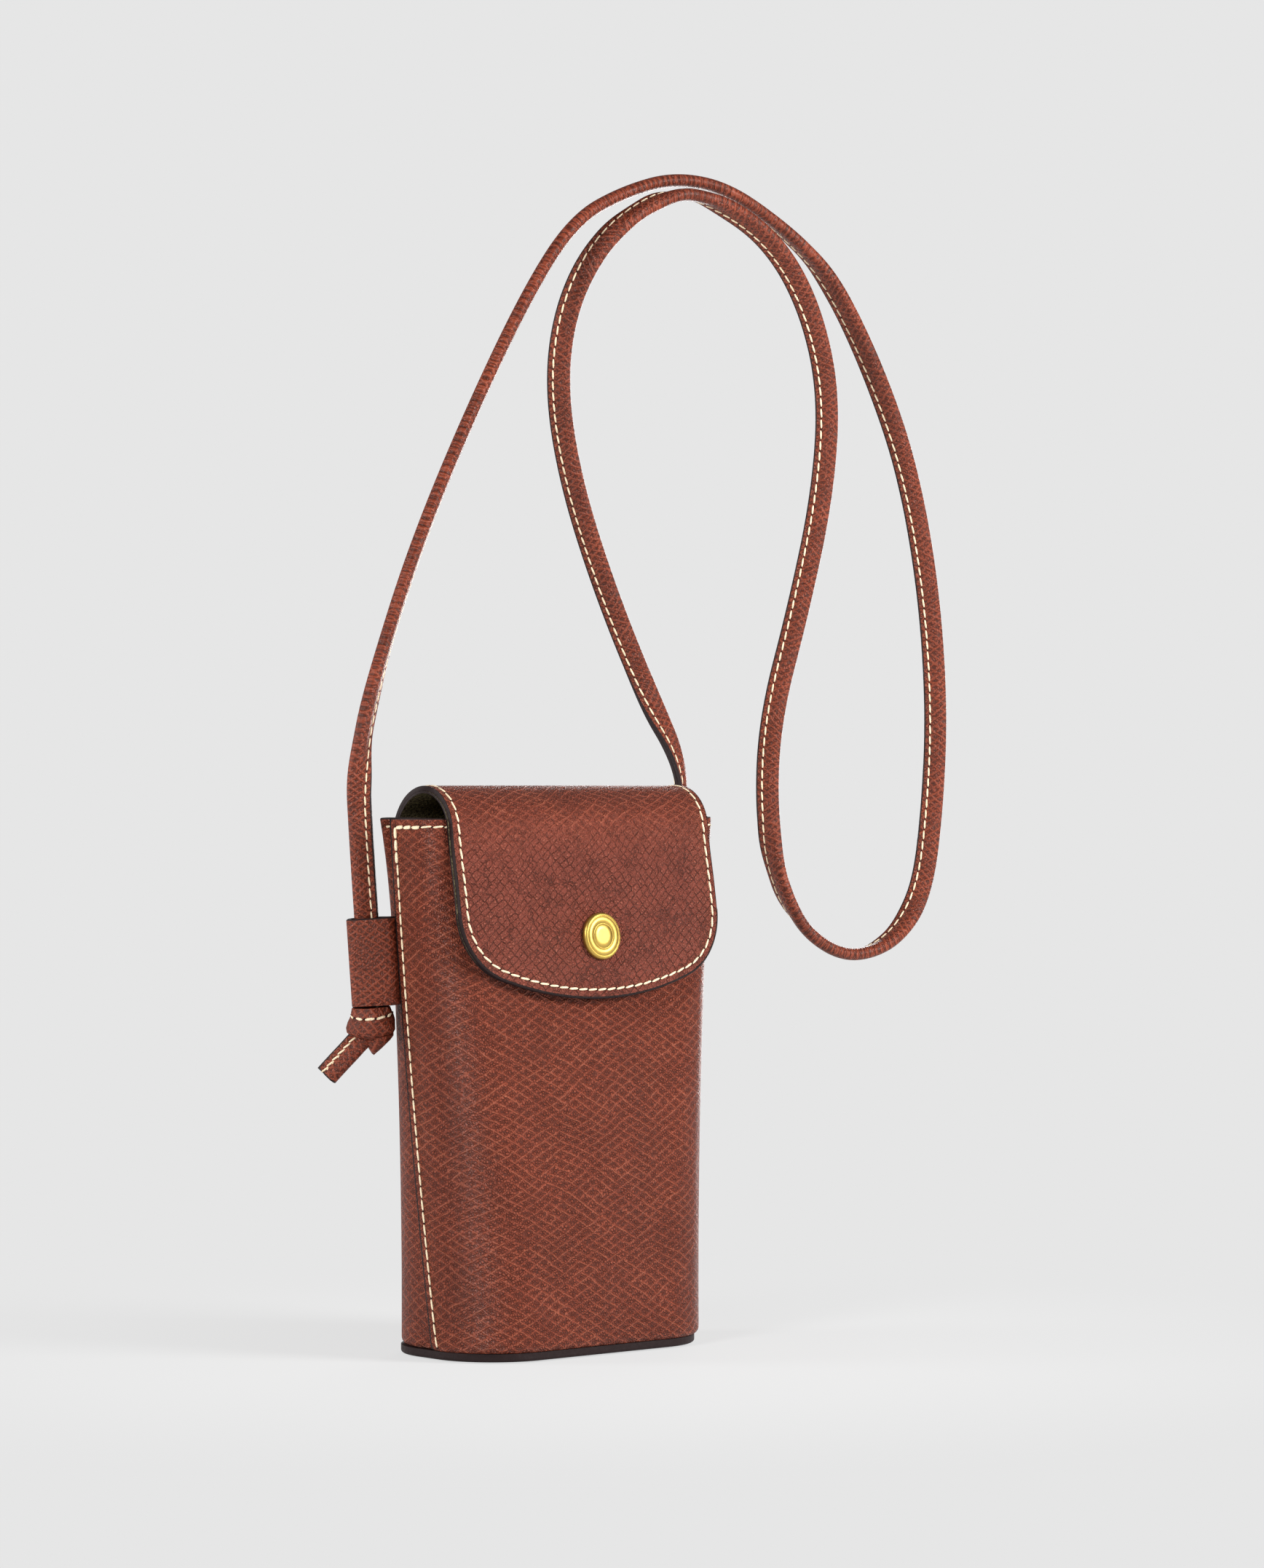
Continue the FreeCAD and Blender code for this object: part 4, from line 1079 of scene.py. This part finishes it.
for node, finish in (("sole", edgePaint), ("base_board", board), ("snap_socket", brass),
                     ("snap_spring", brass), ("snap_stud", brass), ("stud_rivet", brass)):
    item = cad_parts[node]
    item.data.materials.clear()
    item.data.materials.append(finish)


# Floor and light

studio = {"paper": linear(230, 230, 230), "floorDrop": 0.4, "shadow": 0.22, "reach": (0.06, 0.3),
          "world": 0.12, "mirrored": 0.3, "aim": (0.03, 0, 0.17)}
lamps = [    # place from the aim along (right, towards the camera, up) in metres, size, watts
    ("key", (1.0, 0.42, 0.38), 0.5, 19.5),
    ("left", (-1.0, 0.1, 0.2), 0.35, 6.0),
    ("front", (-0.6, 1.0, 0.5), 0.4, 10.5),
    ("rear", (0.25, -1.2, 0.1), 0.6, 8.0),
]


def seenShare(wire):    # 1 for the camera, less for mirrored rays, 0 for light that only falls on things
    rays = wire.node("LightPath")
    return rays.math("MAXIMUM", rays, rays.out(3) * studio["mirrored"])


def paperFinish():
    finish, shader, wire = newFinish("paper", {"Base Color": studio["paper"], "Roughness": 1.0,
                                               "Specular IOR Level": 0.0})
    glow = wire.node("Emission", None, {"Color": studio["paper"]})
    paper = Wire(wire.tree, shader.outputs[0])
    # Seen by the camera the paper has one even tone, with a faint shadow close to the pouch
    spot = wire.node("TexCoord", None, None, 3)
    reach = wire.node("VectorMath", {"operation": "LENGTH"}, {0: spot}, 1)
    shadow = reach.ease(*studio["reach"], studio["shadow"], 0.0)
    mixed = wire.node("MixShader", None, {0: seenShare(wire) * (1 - shadow), 1: paper, 2: glow})
    feed(wire.tree.nodes["Material Output"], "Surface", mixed)
    return finish


bm = bmesh.new()
bmesh.ops.create_grid(bm, x_segments=1, y_segments=1, size=6,
                      matrix=Matrix.Translation((0, 0, -studio["floorDrop"] * mm)))
mesh = asMesh("floor", bm)
mesh.materials.append(paperFinish())
newObject("floor", mesh)

world = bpy.data.worlds.new("studio")
scene.world = world
world.use_nodes = True
seen = seenShare(Wire(world.node_tree))
sky = world.node_tree.nodes["Background"]
sky.inputs["Color"].default_value = studio["paper"]
feed(sky, "Strength", seen.math("MAXIMUM", seen, studio["world"]))

aim = Vector(studio["aim"])
for name, (right, near, high), size, watts in lamps:
    lamp = bpy.data.lights.new(name, "AREA")
    lamp.shape = "DISK"
    lamp.size = size
    lamp.energy = watts
    light = newObject(name, lamp)
    light.location = aim + toRight * right - away * near + up * high
    light.rotation_euler = (aim - light.location).to_track_quat("-Z", "Y").to_euler()
print("studio ready")
